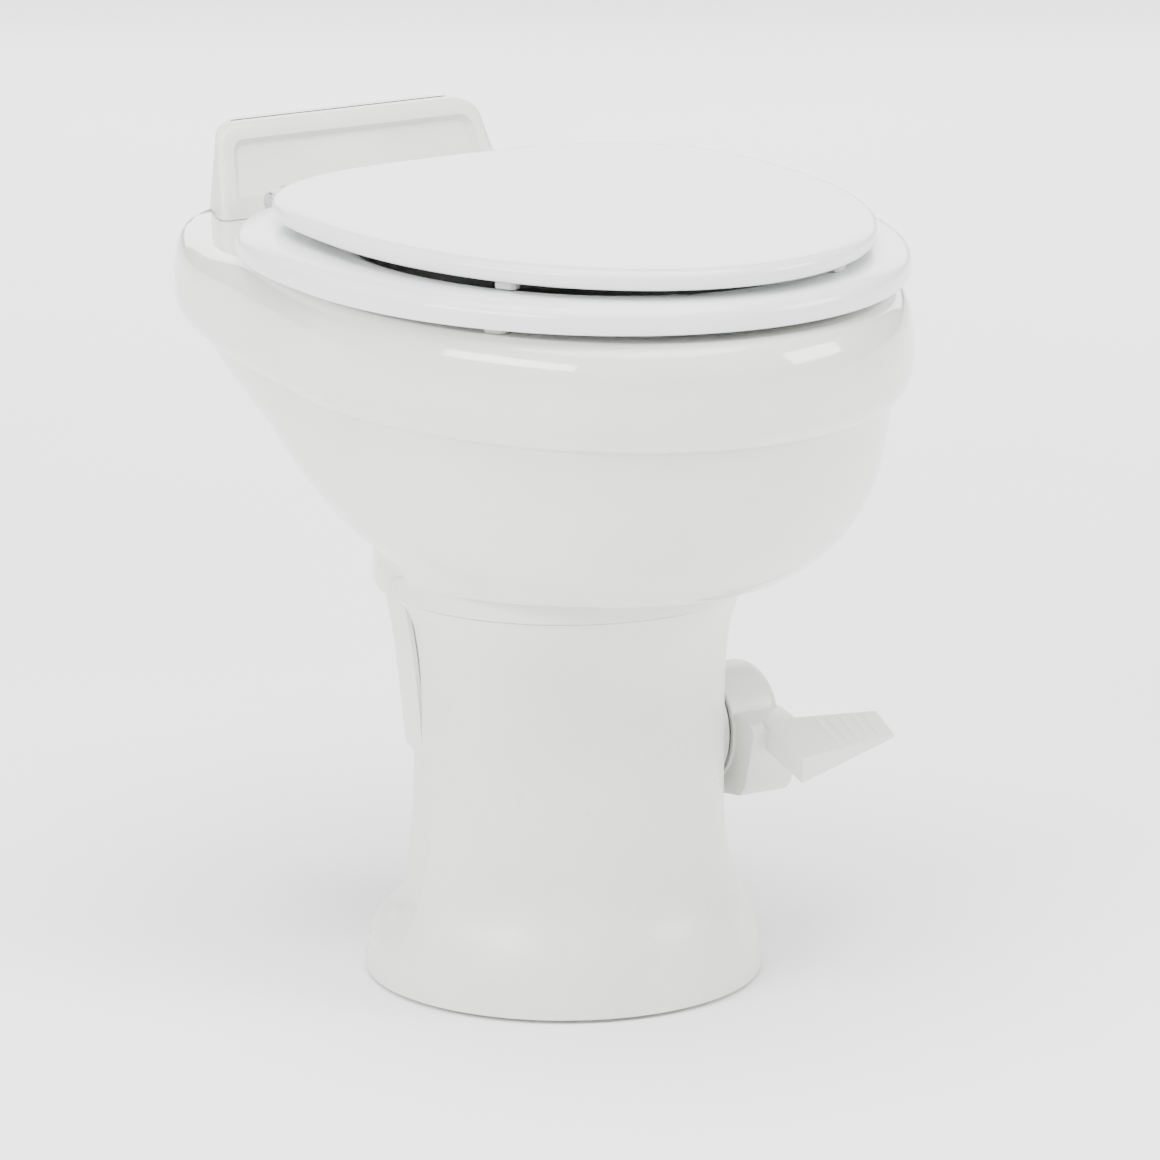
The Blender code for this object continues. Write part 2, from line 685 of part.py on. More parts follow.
def hose(name, path, radius, bore, finish, sides):
    """A tube with an open bore along a path."""
    path = [Vector(p) for p in path]
    along = [(path[min(i + 1, len(path) - 1)] - path[max(i - 1, 0)]).normalized()
             for i in range(len(path))]
    side = along[0].orthogonal().normalized()
    outside, inside = [], []
    for point, ahead in zip(path, along):
        side = (side - ahead * side.dot(ahead)).normalized()
        up = ahead.cross(side)
        for loops, size in ((outside, radius), (inside, bore)):
            loops.append([point + size * (side * math.cos(a) + up * math.sin(a))
                          for a in (math.tau * k / sides for k in range(sides))])
    return loft(name, outside + inside[::-1], finish, ring=True)


def make_pedestal(moulded):
    """Moulded column with its foot, drop tube and the top plate that carries the bowl."""
    angles = column_angles()
    rim_low = PEDESTAL_HEIGHT - SHROUD_RIM_HEIGHT
    levels = [share * PEDESTAL_HEIGHT for share, _ in FRONT_COLUMN_SHARES]
    levels = [level for level in levels if FOOT_SHADOW_GAP < level < rim_low - 2 * GAP]
    levels += [FOOT_SHADOW_GAP, SHROUD_BOTTOM, SHROUD_BOTTOM + GAP, rim_low - GAP]
    outside = [column_loop(level, 0, angles) for level in sorted(levels)]
    rim_radius = FOOT_RADIUS * read_shares(FRONT_COLUMN_SHARES, rim_low / PEDESTAL_HEIGHT)
    top_radius = FOOT_RADIUS * FRONT_COLUMN_SHARES[-1][1]
    outside += [round_loop(rim_radius, rim_low, angles), round_loop(top_radius, PEDESTAL_HEIGHT, angles)]
    seal_roof = FLOOR_SEAL_HEIGHT + GAP
    under = [(DROP_TUBE_RADIUS, seal_roof), (FLOOR_SEAL_RADIUS + GAP, seal_roof),
             (FLOOR_SEAL_RADIUS + GAP, 0), (FOOT_RADIUS - FOOT_RIB_INSET, 0),
             (FOOT_RADIUS - FOOT_RIB_INSET, FOOT_SHADOW_GAP)]
    recess = PEDESTAL_HEIGHT - GASKET_RECESS
    plate = [(GASKET_OUTER_RADIUS + GAP, PEDESTAL_HEIGHT), (GASKET_OUTER_RADIUS + GAP, recess),
             (GASKET_INNER_RADIUS - GAP, recess), (GASKET_INNER_RADIUS - GAP, PEDESTAL_HEIGHT),
             (TOP_PLATE_HOLE_RADIUS, PEDESTAL_HEIGHT),
             (TOP_PLATE_HOLE_RADIUS, PEDESTAL_HEIGHT - TOP_PLATE)]
    tube = [(TUBE_OUTER_RADIUS, FOOT_PLATE), (TUBE_OUTER_RADIUS, DROP_TUBE_HEIGHT),
            (DROP_TUBE_RADIUS, DROP_TUBE_HEIGHT)]
    inner_levels = [PEDESTAL_HEIGHT * share for share in INSIDE_LEVEL_SHARES]
    inner_levels = [PEDESTAL_HEIGHT - TOP_PLATE] + inner_levels + [FOOT_PLATE]
    inside = [column_loop(level, PEDESTAL_WALL, angles) for level in inner_levels]
    loops = [round_loop(r, z, angles) for r, z in under] + outside
    loops += [round_loop(r, z, angles) for r, z in plate] + inside
    loops += [round_loop(r, z, angles) for r, z in tube]
    pedestal = loft("pedestal", loops, moulded, ring=True)

    axis = (0, 0, VALVE_AXIS_HEIGHT)
    front_face = PEDAL_INNER_X - PEDAL_STANDOFF
    add(pedestal, rod("shaft_boss", SHAFT_BOSS_RADIUS, HOUSING_END + GAP, front_face, None, "X", axis))
    cut(pedestal, rod("shaft_hole", SHAFT_BORE, HOUSING_END - OVERRUN, front_face + OVERRUN, None, "X", axis))
    for x in (-FLOOR_BOLT_X, FLOOR_BOLT_X):
        cut(pedestal, rod("floor_bolt_hole", FLOOR_BOLT_RADIUS + FIXING_CLEARANCE, -OVERRUN,
                          FOOT_PLATE + OVERRUN, None, "Z", (x, 0, 0)))
    for x in (-STUD_X, STUD_X):
        cut(pedestal, rod("stud_hole", STUD_RADIUS + FIXING_CLEARANCE, PEDESTAL_HEIGHT - TOP_PLATE - OVERRUN,
                          PEDESTAL_HEIGHT + OVERRUN, None, "Z", (x, 0, 0)))
    for height in (INLET_HEIGHT, OUTLET_HEIGHT):
        cut(pedestal, rod("port_hole", PORT_RADIUS + PORT_HOLE_CLEARANCE, TUBE_OUTER_RADIUS, PORT_REACH,
                          None, "Y", (WATER_VALVE_X, 0, height)))
    cut(pedestal, block("window", (-WINDOW_HALF_WIDTH, VALVE_RADIUS, WINDOW_BOTTOM),
                        (WINDOW_HALF_WIDTH, FOOT_RADIUS + OVERRUN, WINDOW_TOP), None))
    return pedestal


def make_shroud(moulded):
    """Cover clipped round the back of the column, with a notch for the shaft boss."""
    heights = [SHROUD_BOTTOM + (SHROUD_TOP - SHROUD_BOTTOM) * place for place, _ in SHROUD_SHARES]
    spread = 180 - 2 * SHROUD_EDGE_DEGREES
    angles = [math.radians(SHROUD_EDGE_DEGREES + spread * i / SHROUD_STEPS) for i in range(SHROUD_STEPS + 1)]
    grids = []
    for inset in (0, SHROUD_WALL):
        grids.append([round_loop(shroud_radius(height) - inset, height, angles) for height in heights])
    shroud = shell("rear_shroud", grids[0], grids[1], moulded)
    notch = SHAFT_BOSS_RADIUS + PORT_HOLE_CLEARANCE
    cut(shroud, rod("boss_notch", notch, HOUSING_END, PEDAL_OUTER_X, None, "X", (0, 0, VALVE_AXIS_HEIGHT)))
    return shroud


def make_floor_fixings(steel, rubber):
    """Bolts from the floor flange with washers and nuts, and the seal between foot and flange."""
    sleeve("floor_seal", DROP_TUBE_RADIUS, FLOOR_SEAL_RADIUS, GAP, FLOOR_SEAL_HEIGHT, rubber, steps=MIDDLE_STEPS)
    for side, x in (("left", -FLOOR_BOLT_X), ("right", FLOOR_BOLT_X)):
        at = (x, 0, 0)
        hole = FLOOR_BOLT_RADIUS + FIXING_CLEARANCE
        washer_top = FOOT_PLATE + GAP + WASHER_HEIGHT
        rod("floor_bolt_" + side, FLOOR_BOLT_RADIUS, GAP, FOOT_PLATE + FLOOR_BOLT_STICKOUT, steel, "Z", at)
        sleeve("floor_washer_" + side, hole, WASHER_RADIUS, FOOT_PLATE + GAP, washer_top, steel, "Z", at)
        nut("floor_nut_" + side, FLOOR_NUT_RADIUS, hole, washer_top + GAP,
            washer_top + GAP + FLOOR_NUT_HEIGHT, steel, "Z", at)


def make_valve(plastic, rubber, steel):
    """Ball valve under the bowl: body, seal, ball on two pivots, and the pedal shaft."""
    sleeve_inner = TUBE_OUTER_RADIUS + 2 * GAP
    sleeve_outer = sleeve_inner + VALVE_SLEEVE_WALL
    sleeve_low = VALVE_BOTTOM - VALVE_SLEEVE
    pocket = SEAL_OUTER_RADIUS + GAP
    ledge_low = LEDGE_TOP - LEDGE_HEIGHT
    floor_top = VALVE_BOTTOM + VALVE_FLOOR
    body = turned("valve_body", (
        (sleeve_inner, sleeve_low), (sleeve_outer, sleeve_low), (sleeve_outer, VALVE_BOTTOM),
        (VALVE_RADIUS, VALVE_BOTTOM), (VALVE_RADIUS, VALVE_TOP), (pocket, VALVE_TOP), (pocket, LEDGE_TOP),
        (LEDGE_RADIUS, LEDGE_TOP), (LEDGE_RADIUS, ledge_low), (VALVE_CAVITY_RADIUS, ledge_low),
        (VALVE_CAVITY_RADIUS, floor_top), (DROP_TUBE_RADIUS, floor_top), (DROP_TUBE_RADIUS, VALVE_BOTTOM),
        (sleeve_inner, VALVE_BOTTOM),
    ), plastic, steps=MIDDLE_STEPS, ring=True)
    axis = (0, 0, VALVE_AXIS_HEIGHT)
    bush_outer = SHAFT_BORE + BUSH_WALL
    bush_in = VALVE_CAVITY_RADIUS + BUSH_INSET
    for sign in (-1, 1):
        near, far = sorted((sign * bush_in, sign * VALVE_RADIUS))
        add(body, rod("bush_pad", VALVE_PAD_RADIUS, near, far, None, "X", axis))
        near, far = sorted((sign * BALL_RADIUS, sign * (VALVE_RADIUS + OVERRUN)))
        cut(body, rod("bush_hole", bush_outer + GAP, near, far, None, "X", axis))

    turned("ball_seal", (
        (SEAL_LIP_RADIUS, SEAL_BOTTOM), (SEAL_OUTER_RADIUS, SEAL_BOTTOM), (SEAL_OUTER_RADIUS, SEAL_TOP),
        (SEAL_THROAT_RADIUS, SEAL_TOP), (SEAL_THROAT_RADIUS, SEAL_LIP_TOP),
    ), rubber, steps=MIDDLE_STEPS, ring=True)

    crown = arc(BALL_RADIUS, (0, 0), 86, 90 - BALL_CAP_DEGREES, 6)
    crown += arc(BALL_RADIUS - BALL_WALL, (0, 0), 90 - BALL_CAP_DEGREES, 86, 5)
    ball = turned("flush_ball", crown, plastic, "Z", axis, MIDDLE_STEPS)
    high = math.sqrt(BALL_RADIUS**2 - (BALL_EAR_WIDTH / 2) ** 2) - GAP
    deep = BALL_RADIUS - BALL_EAR_THICKNESS
    overlap = 90 - BALL_CAP_DEGREES + BALL_CAP_DEGREES / 4
    for sign in (-1, 1):
        outline = [(high, -BALL_EAR_DROP)] + arc(high, (0, 0), 0, overlap, 5)
        outline += arc(deep, (0, 0), overlap, 0, 5) + [(deep, -BALL_EAR_DROP)]
        points = [(sign * x, VALVE_AXIS_HEIGHT + z) for x, z in outline]
        add(ball, prism("ball_ear", points, -BALL_EAR_WIDTH / 2, BALL_EAR_WIDTH / 2, None, "Y"))
        near, far = sorted((sign * (deep - OVERRUN), sign * (high + OVERRUN)))
        cut(ball, rod("ear_hole", SHAFT_RADIUS + GAP, near, far, None, "X", axis))

    for side, sign in (("left", -1), ("right", 1)):
        profile = ((SHAFT_BORE, bush_in), (bush_outer, bush_in), (bush_outer, BUSH_START),
                   (bush_outer + BUSH_FLANGE, BUSH_START), (bush_outer + BUSH_FLANGE, BUSH_END),
                   (SHAFT_BORE, BUSH_END))
        turned("shaft_bush_" + side, [(r, sign * x) for r, x in profile], plastic, "X", axis, ring=True)

    head = BUSH_END + GAP
    pivot = turned("ball_pivot", (
        (PIVOT_HEAD_RADIUS, -head - PIVOT_HEAD_HEIGHT), (PIVOT_HEAD_RADIUS, -head),
        (SHAFT_RADIUS, -head), (SHAFT_RADIUS, -SHAFT_START),
    ), plastic, "X", axis)
    shaft_end = PEDAL_OUTER_X - PEDAL_END_WALL - GAP
    shaft = rod("pedal_shaft", SHAFT_RADIUS, SHAFT_START, shaft_end, steel, "X", axis)
    cut(shaft, rod("screw_bore", PEDAL_SCREW_RADIUS + GAP, shaft_end - PEDAL_SCREW_DEPTH,
                   shaft_end + OVERRUN, None, "X", axis))
    return ball, pivot, shaft


def make_cam(plastic):
    """Cam on the pedal shaft. Its lower edge comes round as the pedal goes down."""
    points = []
    for i in range(ROUND_STEPS):
        turn = 360.0 * i / ROUND_STEPS
        if turn > 180 + (PEDAL_PRESS_DEGREES - CAM_DWELL_DEGREES) / 2:
            turn -= 360
        lift = min(max(turn, -CAM_DWELL_DEGREES) / PEDAL_PRESS_DEGREES, 1)
        past = turn - PEDAL_PRESS_DEGREES - CAM_DWELL_DEGREES
        if past > 0:
            back = 360 - PEDAL_PRESS_DEGREES - 2 * CAM_DWELL_DEGREES
            lift -= (1 + CAM_DWELL_DEGREES / PEDAL_PRESS_DEGREES) * ease(2 * past / back)
        radius = CAM_RADIUS + CAM_LIFT * lift
        points.append((-radius * math.sin(math.radians(turn)),
                       VALVE_AXIS_HEIGHT - radius * math.cos(math.radians(turn))))
    cam = prism("valve_cam", points, CAM_START, CAM_END, plastic)
    cut(cam, rod("cam_hole", SHAFT_RADIUS + GAP, CAM_START - OVERRUN, CAM_END + OVERRUN, None, "X",
                 (0, 0, VALVE_AXIS_HEIGHT)))
    return cam


def make_spring(plastic, steel):
    """Return spring coiled round the shaft in its housing."""
    axis = (0, 0, VALVE_AXIS_HEIGHT)
    bore = SPRING_HOUSING_RADIUS - SPRING_HOUSING_WALL
    turned("spring_housing", (
        (SHAFT_BORE, HOUSING_START), (SPRING_HOUSING_RADIUS, HOUSING_START),
        (SPRING_HOUSING_RADIUS, HOUSING_END), (bore, HOUSING_END),
        (bore, HOUSING_START + SPRING_HOUSING_WALL), (SHAFT_BORE, HOUSING_START + SPRING_HOUSING_WALL),
    ), plastic, "X", axis, MIDDLE_STEPS, ring=True)
    start = HOUSING_START + SPRING_HOUSING_WALL + SPRING_WIRE_RADIUS + GAP
    loops = []
    steps = SPRING_TURNS * SMALL_STEPS
    for i in range(steps + 1):
        angle = math.tau * SPRING_TURNS * i / steps
        out = Vector((0, math.cos(angle), math.sin(angle)))
        centre = Vector((start + SPRING_PITCH * SPRING_TURNS * i / steps, 0, VALVE_AXIS_HEIGHT))
        centre += out * SPRING_COIL_RADIUS
        loops.append([centre + SPRING_WIRE_RADIUS * (out * math.cos(a) + Vector((math.sin(a), 0, 0)))
                      for a in (math.tau * k / 5 for k in range(5))])
    loft("torsion_spring", loops, steel)


def make_water_valve(plastic, steel):
    """Water valve pressed from above by the cam, with two ports to the back."""
    at = (WATER_VALVE_X, 0, 0)
    valve = rod("water_valve", WATER_VALVE_RADIUS, WATER_VALVE_BOTTOM, WATER_VALVE_TOP, plastic, "Z", at)
    for height in (INLET_HEIGHT, OUTLET_HEIGHT):
        place = (WATER_VALVE_X, 0, height)
        add(valve, rod("port", PORT_RADIUS, WATER_VALVE_BORE, PORT_REACH, None, "Y", place))
    low, high = WATER_VALVE_BOTTOM + WATER_VALVE_END_WALL, WATER_VALVE_TOP - WATER_VALVE_END_WALL
    cut(valve, rod("valve_bore", WATER_VALVE_BORE, low, high, None, "Z", at))
    cut(valve, rod("plunger_bore", PLUNGER_RADIUS + FIXING_CLEARANCE, high - OVERRUN,
                   WATER_VALVE_TOP + OVERRUN, None, "Z", at))
    for height in (INLET_HEIGHT, OUTLET_HEIGHT):
        place = (WATER_VALVE_X, 0, height)
        cut(valve, rod("port_bore", PORT_BORE_RADIUS, 0, PORT_REACH + OVERRUN, None, "Y", place))
    plunger = rod("valve_plunger", PLUNGER_RADIUS, WATER_VALVE_TOP - PLUNGER_DEPTH, CAM_BOTTOM - PLUNGER_GAP,
                  steel, "Z", at)
    far = PORT_REACH + OVERRUN
    swivel = nut("inlet_nut", INLET_NUT_RADIUS, PORT_RADIUS + FIXING_CLEARANCE, far - INLET_NUT_LENGTH,
                 far, plastic, "Y", (WATER_VALVE_X, 0, INLET_HEIGHT), INLET_NUT_SIDES)
    return plunger, swivel


def settle(point):
    """Ease the back of the rim down to the level of the deck."""
    behind = (point.y - DECK_DROP_START) / (DECK_DROP_END - DECK_DROP_START)
    up = (point.z - LIP_BOTTOM) / (RIM_HEIGHT - LIP_BOTTOM)
    return Vector((point.x, point.y, point.z - DECK_DROP * ease(behind) * min(max(up, 0), 1)))


def opening(height, offset):
    """Loop of the rim's opening, made larger by an offset."""
    return egg(height, BOWL_HALF_WIDTH - RIM_WIDTH + offset, BOWL_FRONT_REACH - RIM_WIDTH + offset,
               BOWL_INNER_REAR + offset, BOWL_WIDEST_Y)


def past_collar(point):
    """Push a point at the bowl's back out to the collar, so that the taper leaves no ledge there."""
    reach = math.hypot(point.x, point.y)
    if point.y < 0 or reach > COLLAR_RADIUS:
        return point
    return Vector((point.x * COLLAR_RADIUS / reach, point.y * COLLAR_RADIUS / reach, point.z))


def make_bowl(china):
    """China bowl with a flushing rim, a rear deck and a spigot that enters the valve."""
    def ring(radius, height):
        return egg(height, radius, radius, radius, 0)

    loops = [ring(SPIGOT_RADIUS, SPIGOT_BOTTOM), ring(SPIGOT_RADIUS, SEAT_FACE),
             ring(COLLAR_RADIUS - COLLAR_EDGE, SEAT_FACE), ring(COLLAR_RADIUS, SEAT_FACE + COLLAR_EDGE),
             ring(COLLAR_RADIUS, COLLAR_TOP)]
    for share, width, front, rear, power in BODY_SHARES + BAND_SHARES:
        loop = egg(COLLAR_TOP + share * (RIM_HEIGHT - COLLAR_TOP), BOWL_HALF_WIDTH * width,
                   BOWL_FRONT_REACH * front, DECK_REACH * rear, BOWL_WIDEST_Y, power, DECK_TAPER_SHARE)
        loops.append([past_collar(point) for point in loop])
    outer, inner = loops[-1], opening(RIM_HEIGHT, RIM_EDGE)
    for mix in (1 / 3, 2 / 3):
        loops.append([a.lerp(b, mix) for a, b in zip(outer, inner)])
    well_top, well_low = LIP_BOTTOM, WELL_BOTTOM
    loops += [inner, opening(RIM_HEIGHT - RIM_EDGE / 3, RIM_EDGE / 3), opening(RIM_HEIGHT - RIM_EDGE, 0),
              opening(LIP_BOTTOM, 0), opening(LIP_BOTTOM, RIM_LIP), opening(RIM_HEIGHT - RIM_ROOF, RIM_LIP),
              opening(RIM_HEIGHT - RIM_ROOF, RIM_LIP + CHANNEL_WIDTH)]
    for share, width, front, rear in WELL_SHARES:
        loops.append(egg(well_top + (well_low - well_top) * share, (BOWL_HALF_WIDTH - RIM_WIDTH) * width,
                         (BOWL_FRONT_REACH - RIM_WIDTH) * front, BOWL_INNER_REAR * rear, BOWL_WIDEST_Y))
    loops += [ring(SPIGOT_BORE_RADIUS, WELL_BOTTOM), ring(SPIGOT_BORE_RADIUS, SPIGOT_BOTTOM)]
    loops = [[settle(point) for point in loop] for loop in loops]
    bowl = loft("bowl", loops, china, ring=True)

    outline = [(DECK_REACH * y, HOLLOW_BOTTOM + (POCKET_FLOOR - HOLLOW_BOTTOM) * z) for z, y in HOLLOW_SHARES]
    lip = DECK_REACH - DECK_LIP
    behind = DECK_REACH + BOWL_HALF_WIDTH / 4
    outline += [(POCKET_FRONT, DECK_UNDERSIDE), (lip, DECK_UNDERSIDE), (lip, POCKET_FLOOR),
                (behind, POCKET_FLOOR),
                (behind, HOLLOW_BOTTOM - HOLLOW_FLOOR_SLOPE * (behind - outline[0][0]))]
    cut(bowl, prism("hollow", outline, -HOLLOW_HALF_WIDTH, HOLLOW_HALF_WIDTH, None))
    for sign in (-1, 1):
        near, far = sorted((sign * (HOLLOW_HALF_WIDTH - OVERRUN), sign * HOLLOW_UPPER_HALF_WIDTH))
        cut(bowl, block("side_pocket", (near, POCKET_FRONT + GAP, POCKET_FLOOR + GAP),
                        (far, lip - GAP, DECK_UNDERSIDE - GAP), None))
        at = (sign * STUD_X, 0, 0)
        cut(bowl, rod("stud_pocket", STUD_HEAD_RADIUS + FIXING_CLEARANCE, SEAT_FACE - OVERRUN,
                      SEAT_FACE + STUD_POCKET_DEPTH, None, "Z", at))
        at = (sign * HINGE_X, HINGE_Y, 0)
        cut(bowl, rod("hinge_hole", HINGE_BOLT_RADIUS + FIXING_CLEARANCE, DECK_UNDERSIDE - OVERRUN,
                      DECK_HEIGHT + OVERRUN, None, "Z", at))
        at = (sign * LEG_X, BREAKER_Y, 0)
        cut(bowl, rod("leg_hole", PORT_RADIUS + FIXING_CLEARANCE, DECK_UNDERSIDE - OVERRUN,
                      DECK_HEIGHT + OVERRUN, None, "Z", at))
    channel = BOWL_INNER_REAR + RIM_LIP + CHANNEL_WIDTH / 2
    cut(bowl, rod("rim_inlet", RIM_INLET_RADIUS, channel, POCKET_FRONT + OVERRUN, None, "Y",
                  (-LEG_X, 0, RIM_INLET_HEIGHT)))
    return bowl


def make_bowl_fixings(steel, rubber):
    """Gasket between pedestal and bowl, and the two studs that hold the bowl down."""
    low, high = PEDESTAL_HEIGHT - GASKET_RECESS + GAP, SEAT_FACE - GAP
    section = ((GASKET_INNER_RADIUS, low), (GASKET_OUTER_RADIUS, low), (GASKET_OUTER_RADIUS, high),
               (GASKET_INNER_RADIUS, high))
    loft("bowl_gasket", [round_loop(r, z, column_angles()) for r, z in section], rubber, ring=True)
    under = PEDESTAL_HEIGHT - TOP_PLATE
    for side, x in (("left", -STUD_X), ("right", STUD_X)):
        at = (x, 0, 0)
        turned("bowl_stud_" + side, (
            (STUD_RADIUS, under - STUD_TAIL), (STUD_RADIUS, SEAT_FACE + GAP),
            (STUD_HEAD_RADIUS, SEAT_FACE + GAP), (STUD_HEAD_RADIUS, SEAT_FACE + GAP + STUD_HEAD_HEIGHT),
        ), steel, "Z", at)
        nut("bowl_nut_" + side, STUD_NUT_RADIUS, STUD_RADIUS + FIXING_CLEARANCE,
            under - GAP - STUD_NUT_HEIGHT, under - GAP, steel, "Z", at)


def box_loop(half_width, front, rear, radius, height):
    """Level rectangle with round corners."""
    loop = []
    for sx, y, start in ((1, rear - radius, 0), (-1, rear - radius, 90), (-1, front + radius, 180),
                         (1, front + radius, 270)):
        loop += [Vector((px, py, height))
                 for px, py in arc(radius, (sx * (half_width - radius), y), start, start + 90, 3)]
    return loop


def make_cover(moulded):
    """Hollow cover over the vacuum breaker. Its front leans back and has an inset panel."""
    bottom = DECK_HEIGHT + GAP

    def lean(height):
        """Half width and front of the cover at a height."""
        up = (height - bottom) / COVER_HEIGHT
        return COVER_HALF_WIDTH + (COVER_TOP_HALF_WIDTH - COVER_HALF_WIDTH) * up, COVER_FRONT_Y + COVER_LEAN * up

    def level(height, side, end, wall):
        width, front = lean(height)
        rear = COVER_FRONT_Y + COVER_DEPTH
        loop = box_loop(width - side - wall, front + end + wall, rear - end - wall, COVER_CORNER - wall, height)
        for point in loop:
            point.x *= 1 - COVER_REAR_TAPER_SHARE * (point.y - front) / (rear - front)
        return loop

    turns = [math.radians(angle) for angle in (90, 62, 32, 0)]
    outer = [level(COVER_TOP - COVER_TOP_ROUNDING * (1 - math.sin(a)), COVER_SIDE_ROUNDING * (1 - math.cos(a)),
                   COVER_EDGE * (1 - math.cos(a)), 0) for a in turns]
    roof = COVER_TOP - COVER_WALL
    inner = [level(roof - COVER_TOP_ROUNDING, 0, 0, COVER_WALL),
             level(roof, COVER_SIDE_ROUNDING, COVER_EDGE / 2, COVER_WALL)]
    cover = loft("rear_cover", outer + [level(bottom, 0, 0, 0), level(bottom, 0, 0, COVER_WALL)] + inner, moulded)
    low, high = bottom + COVER_PANEL_BORDER, COVER_TOP - COVER_PANEL_BORDER
    corner = high - COVER_PANEL_CHAMFER
    right = [(lean(z)[0] - COVER_PANEL_SIDE_BORDER - inset, z)
             for z, inset in ((low, 0), (corner, 0), (high, COVER_PANEL_CHAMFER))]
    panel = right + [(-x, z) for x, z in reversed(right)]
    loops = [[Vector((x, lean(z)[1] + depth, z)) for x, z in panel] for depth in (-OVERRUN, COVER_PANEL_DEPTH)]
    cut(cover, loft("panel", loops, None))
    return cover


def make_breaker(plastic, dark):
    """Vacuum breaker: a bridge on two legs through the deck, a chamber, a float and a vented cap."""
    half_bridge = LEG_X + BREAKER_BRIDGE_DEPTH / 2
    centre = (0, BREAKER_Y, 0)
    body = block("vacuum_breaker", (-half_bridge, BREAKER_Y - BREAKER_BRIDGE_DEPTH / 2, DECK_HEIGHT + GAP),
                 (half_bridge, BREAKER_Y + BREAKER_BRIDGE_DEPTH / 2, BRIDGE_TOP), plastic)
    for x in (-LEG_X, LEG_X):
        add(body, rod("leg", PORT_RADIUS, LEG_BOTTOM, BREAKER_BORE_HEIGHT, None, "Z", (x, BREAKER_Y, 0)))
    add(body, rod("chamber", BREAKER_RADIUS, BREAKER_BORE_HEIGHT - GAP, CHAMBER_TOP, None, "Z", centre))
    cut(body, rod("chamber_bore", CHAMBER_RADIUS, BREAKER_BORE_HEIGHT, CHAMBER_TOP + OVERRUN, None, "Z", centre))
    for x in (-LEG_X, LEG_X):
        cut(body, rod("leg_bore", BREAKER_BORE_RADIUS, LEG_BOTTOM - OVERRUN, BREAKER_BORE_HEIGHT, None, "Z",
                      (x, BREAKER_Y, 0)))
    cut(body, rod("cross_bore", BREAKER_BORE_RADIUS - GAP, -LEG_X, LEG_X, None, "X",
                  (0, BREAKER_Y, BREAKER_BORE_HEIGHT)))
    cap_low = CHAMBER_TOP + GAP
    turned("breaker_cap", (
        (BREAKER_BORE_RADIUS, CHAMBER_TOP - BREAKER_CAP_PLUG), (CHAMBER_RADIUS - GAP, CHAMBER_TOP - BREAKER_CAP_PLUG),
        (CHAMBER_RADIUS - GAP, cap_low), (BREAKER_RADIUS, cap_low), (BREAKER_RADIUS, cap_low + BREAKER_CAP_HEIGHT),
        (BREAKER_BORE_RADIUS, cap_low + BREAKER_CAP_HEIGHT),
    ), dark, "Z", centre, ring=True)
    low = BREAKER_BORE_HEIGHT + GAP
    return rod("breaker_float", CHAMBER_RADIUS - FLOAT_CLEARANCE, low, low + FLOAT_HEIGHT, dark, "Z", centre)


def make_hoses(dark, steel, rubber):
    """Hose from the water valve up to the breaker, and the short line from there to the rim."""
    start = PORT_REACH - HOSE_OVERLAP
    back = BREAKER_Y - ELBOW_REACH
    supply = [(WATER_VALVE_X, y, OUTLET_HEIGHT) for y in (start, PORT_REACH, PORT_REACH + HOSE_RADIUS)]
    supply += [(WATER_VALVE_X * x, DECK_REACH * y, OUTLET_HEIGHT + (LEG_BOTTOM - OUTLET_HEIGHT) * z)
               for x, y, z in HOSE_ROUTE_SHARES]
    supply += [(LEG_X, BREAKER_Y, z) for z in (LEG_BOTTOM - HOSE_RADIUS, LEG_BOTTOM, DECK_UNDERSIDE - GAP)]
    hose("supply_hose", smooth_path(supply, 2), HOSE_RADIUS, HOSE_BORE, dark, HOSE_SIDES)
    inner, outer = HOSE_RADIUS + CLAMP_CLEARANCE, HOSE_RADIUS + CLAMP_CLEARANCE + CLAMP_WALL
    sleeve("hose_clamp_lower", inner, outer, start + GAP, start + GAP + CLAMP_WIDTH, steel, "Y",
           (WATER_VALVE_X, 0, OUTLET_HEIGHT))
    sleeve("hose_clamp_upper", inner, outer, DECK_UNDERSIDE - 2 * GAP - CLAMP_WIDTH, DECK_UNDERSIDE - 2 * GAP,
           steel, "Z", (LEG_X, BREAKER_Y, 0))

    radius = LEG_BOTTOM - RIM_INLET_HEIGHT
    bend = [(-LEG_X, BREAKER_Y, DECK_UNDERSIDE - GAP)]
    bend += [(-LEG_X, BREAKER_Y - radius + y, LEG_BOTTOM + z) for y, z in arc(radius, (0, 0), 0, -90, 6)]
    bend += [(-LEG_X, back, RIM_INLET_HEIGHT)]
    hose("outlet_elbow", bend, HOSE_RADIUS, HOSE_BORE, dark, HOSE_SIDES)
    face = POCKET_FRONT + GAP + GROMMET_FLANGE_HEIGHT
    at = (-LEG_X, 0, RIM_INLET_HEIGHT)
    sleeve("rim_hose", HOSE_BORE, HOSE_RADIUS, face + GAP, back - GAP, dark, "Y", at, HOSE_SIDES)
    neck = RIM_INLET_RADIUS - GAP
    turned("rim_grommet", (
        (GROMMET_BORE_RADIUS, POCKET_FRONT - GROMMET_SPIGOT), (neck, POCKET_FRONT - GROMMET_SPIGOT),
        (neck, POCKET_FRONT + GAP), (RIM_INLET_RADIUS + GROMMET_FLANGE, POCKET_FRONT + GAP),
        (RIM_INLET_RADIUS + GROMMET_FLANGE, face), (PORT_RADIUS, face), (PORT_RADIUS, face + GROMMET_SPIGOT),
        (GROMMET_BORE_RADIUS, face + GROMMET_SPIGOT),
    ), rubber, "Y", at, ring=True)


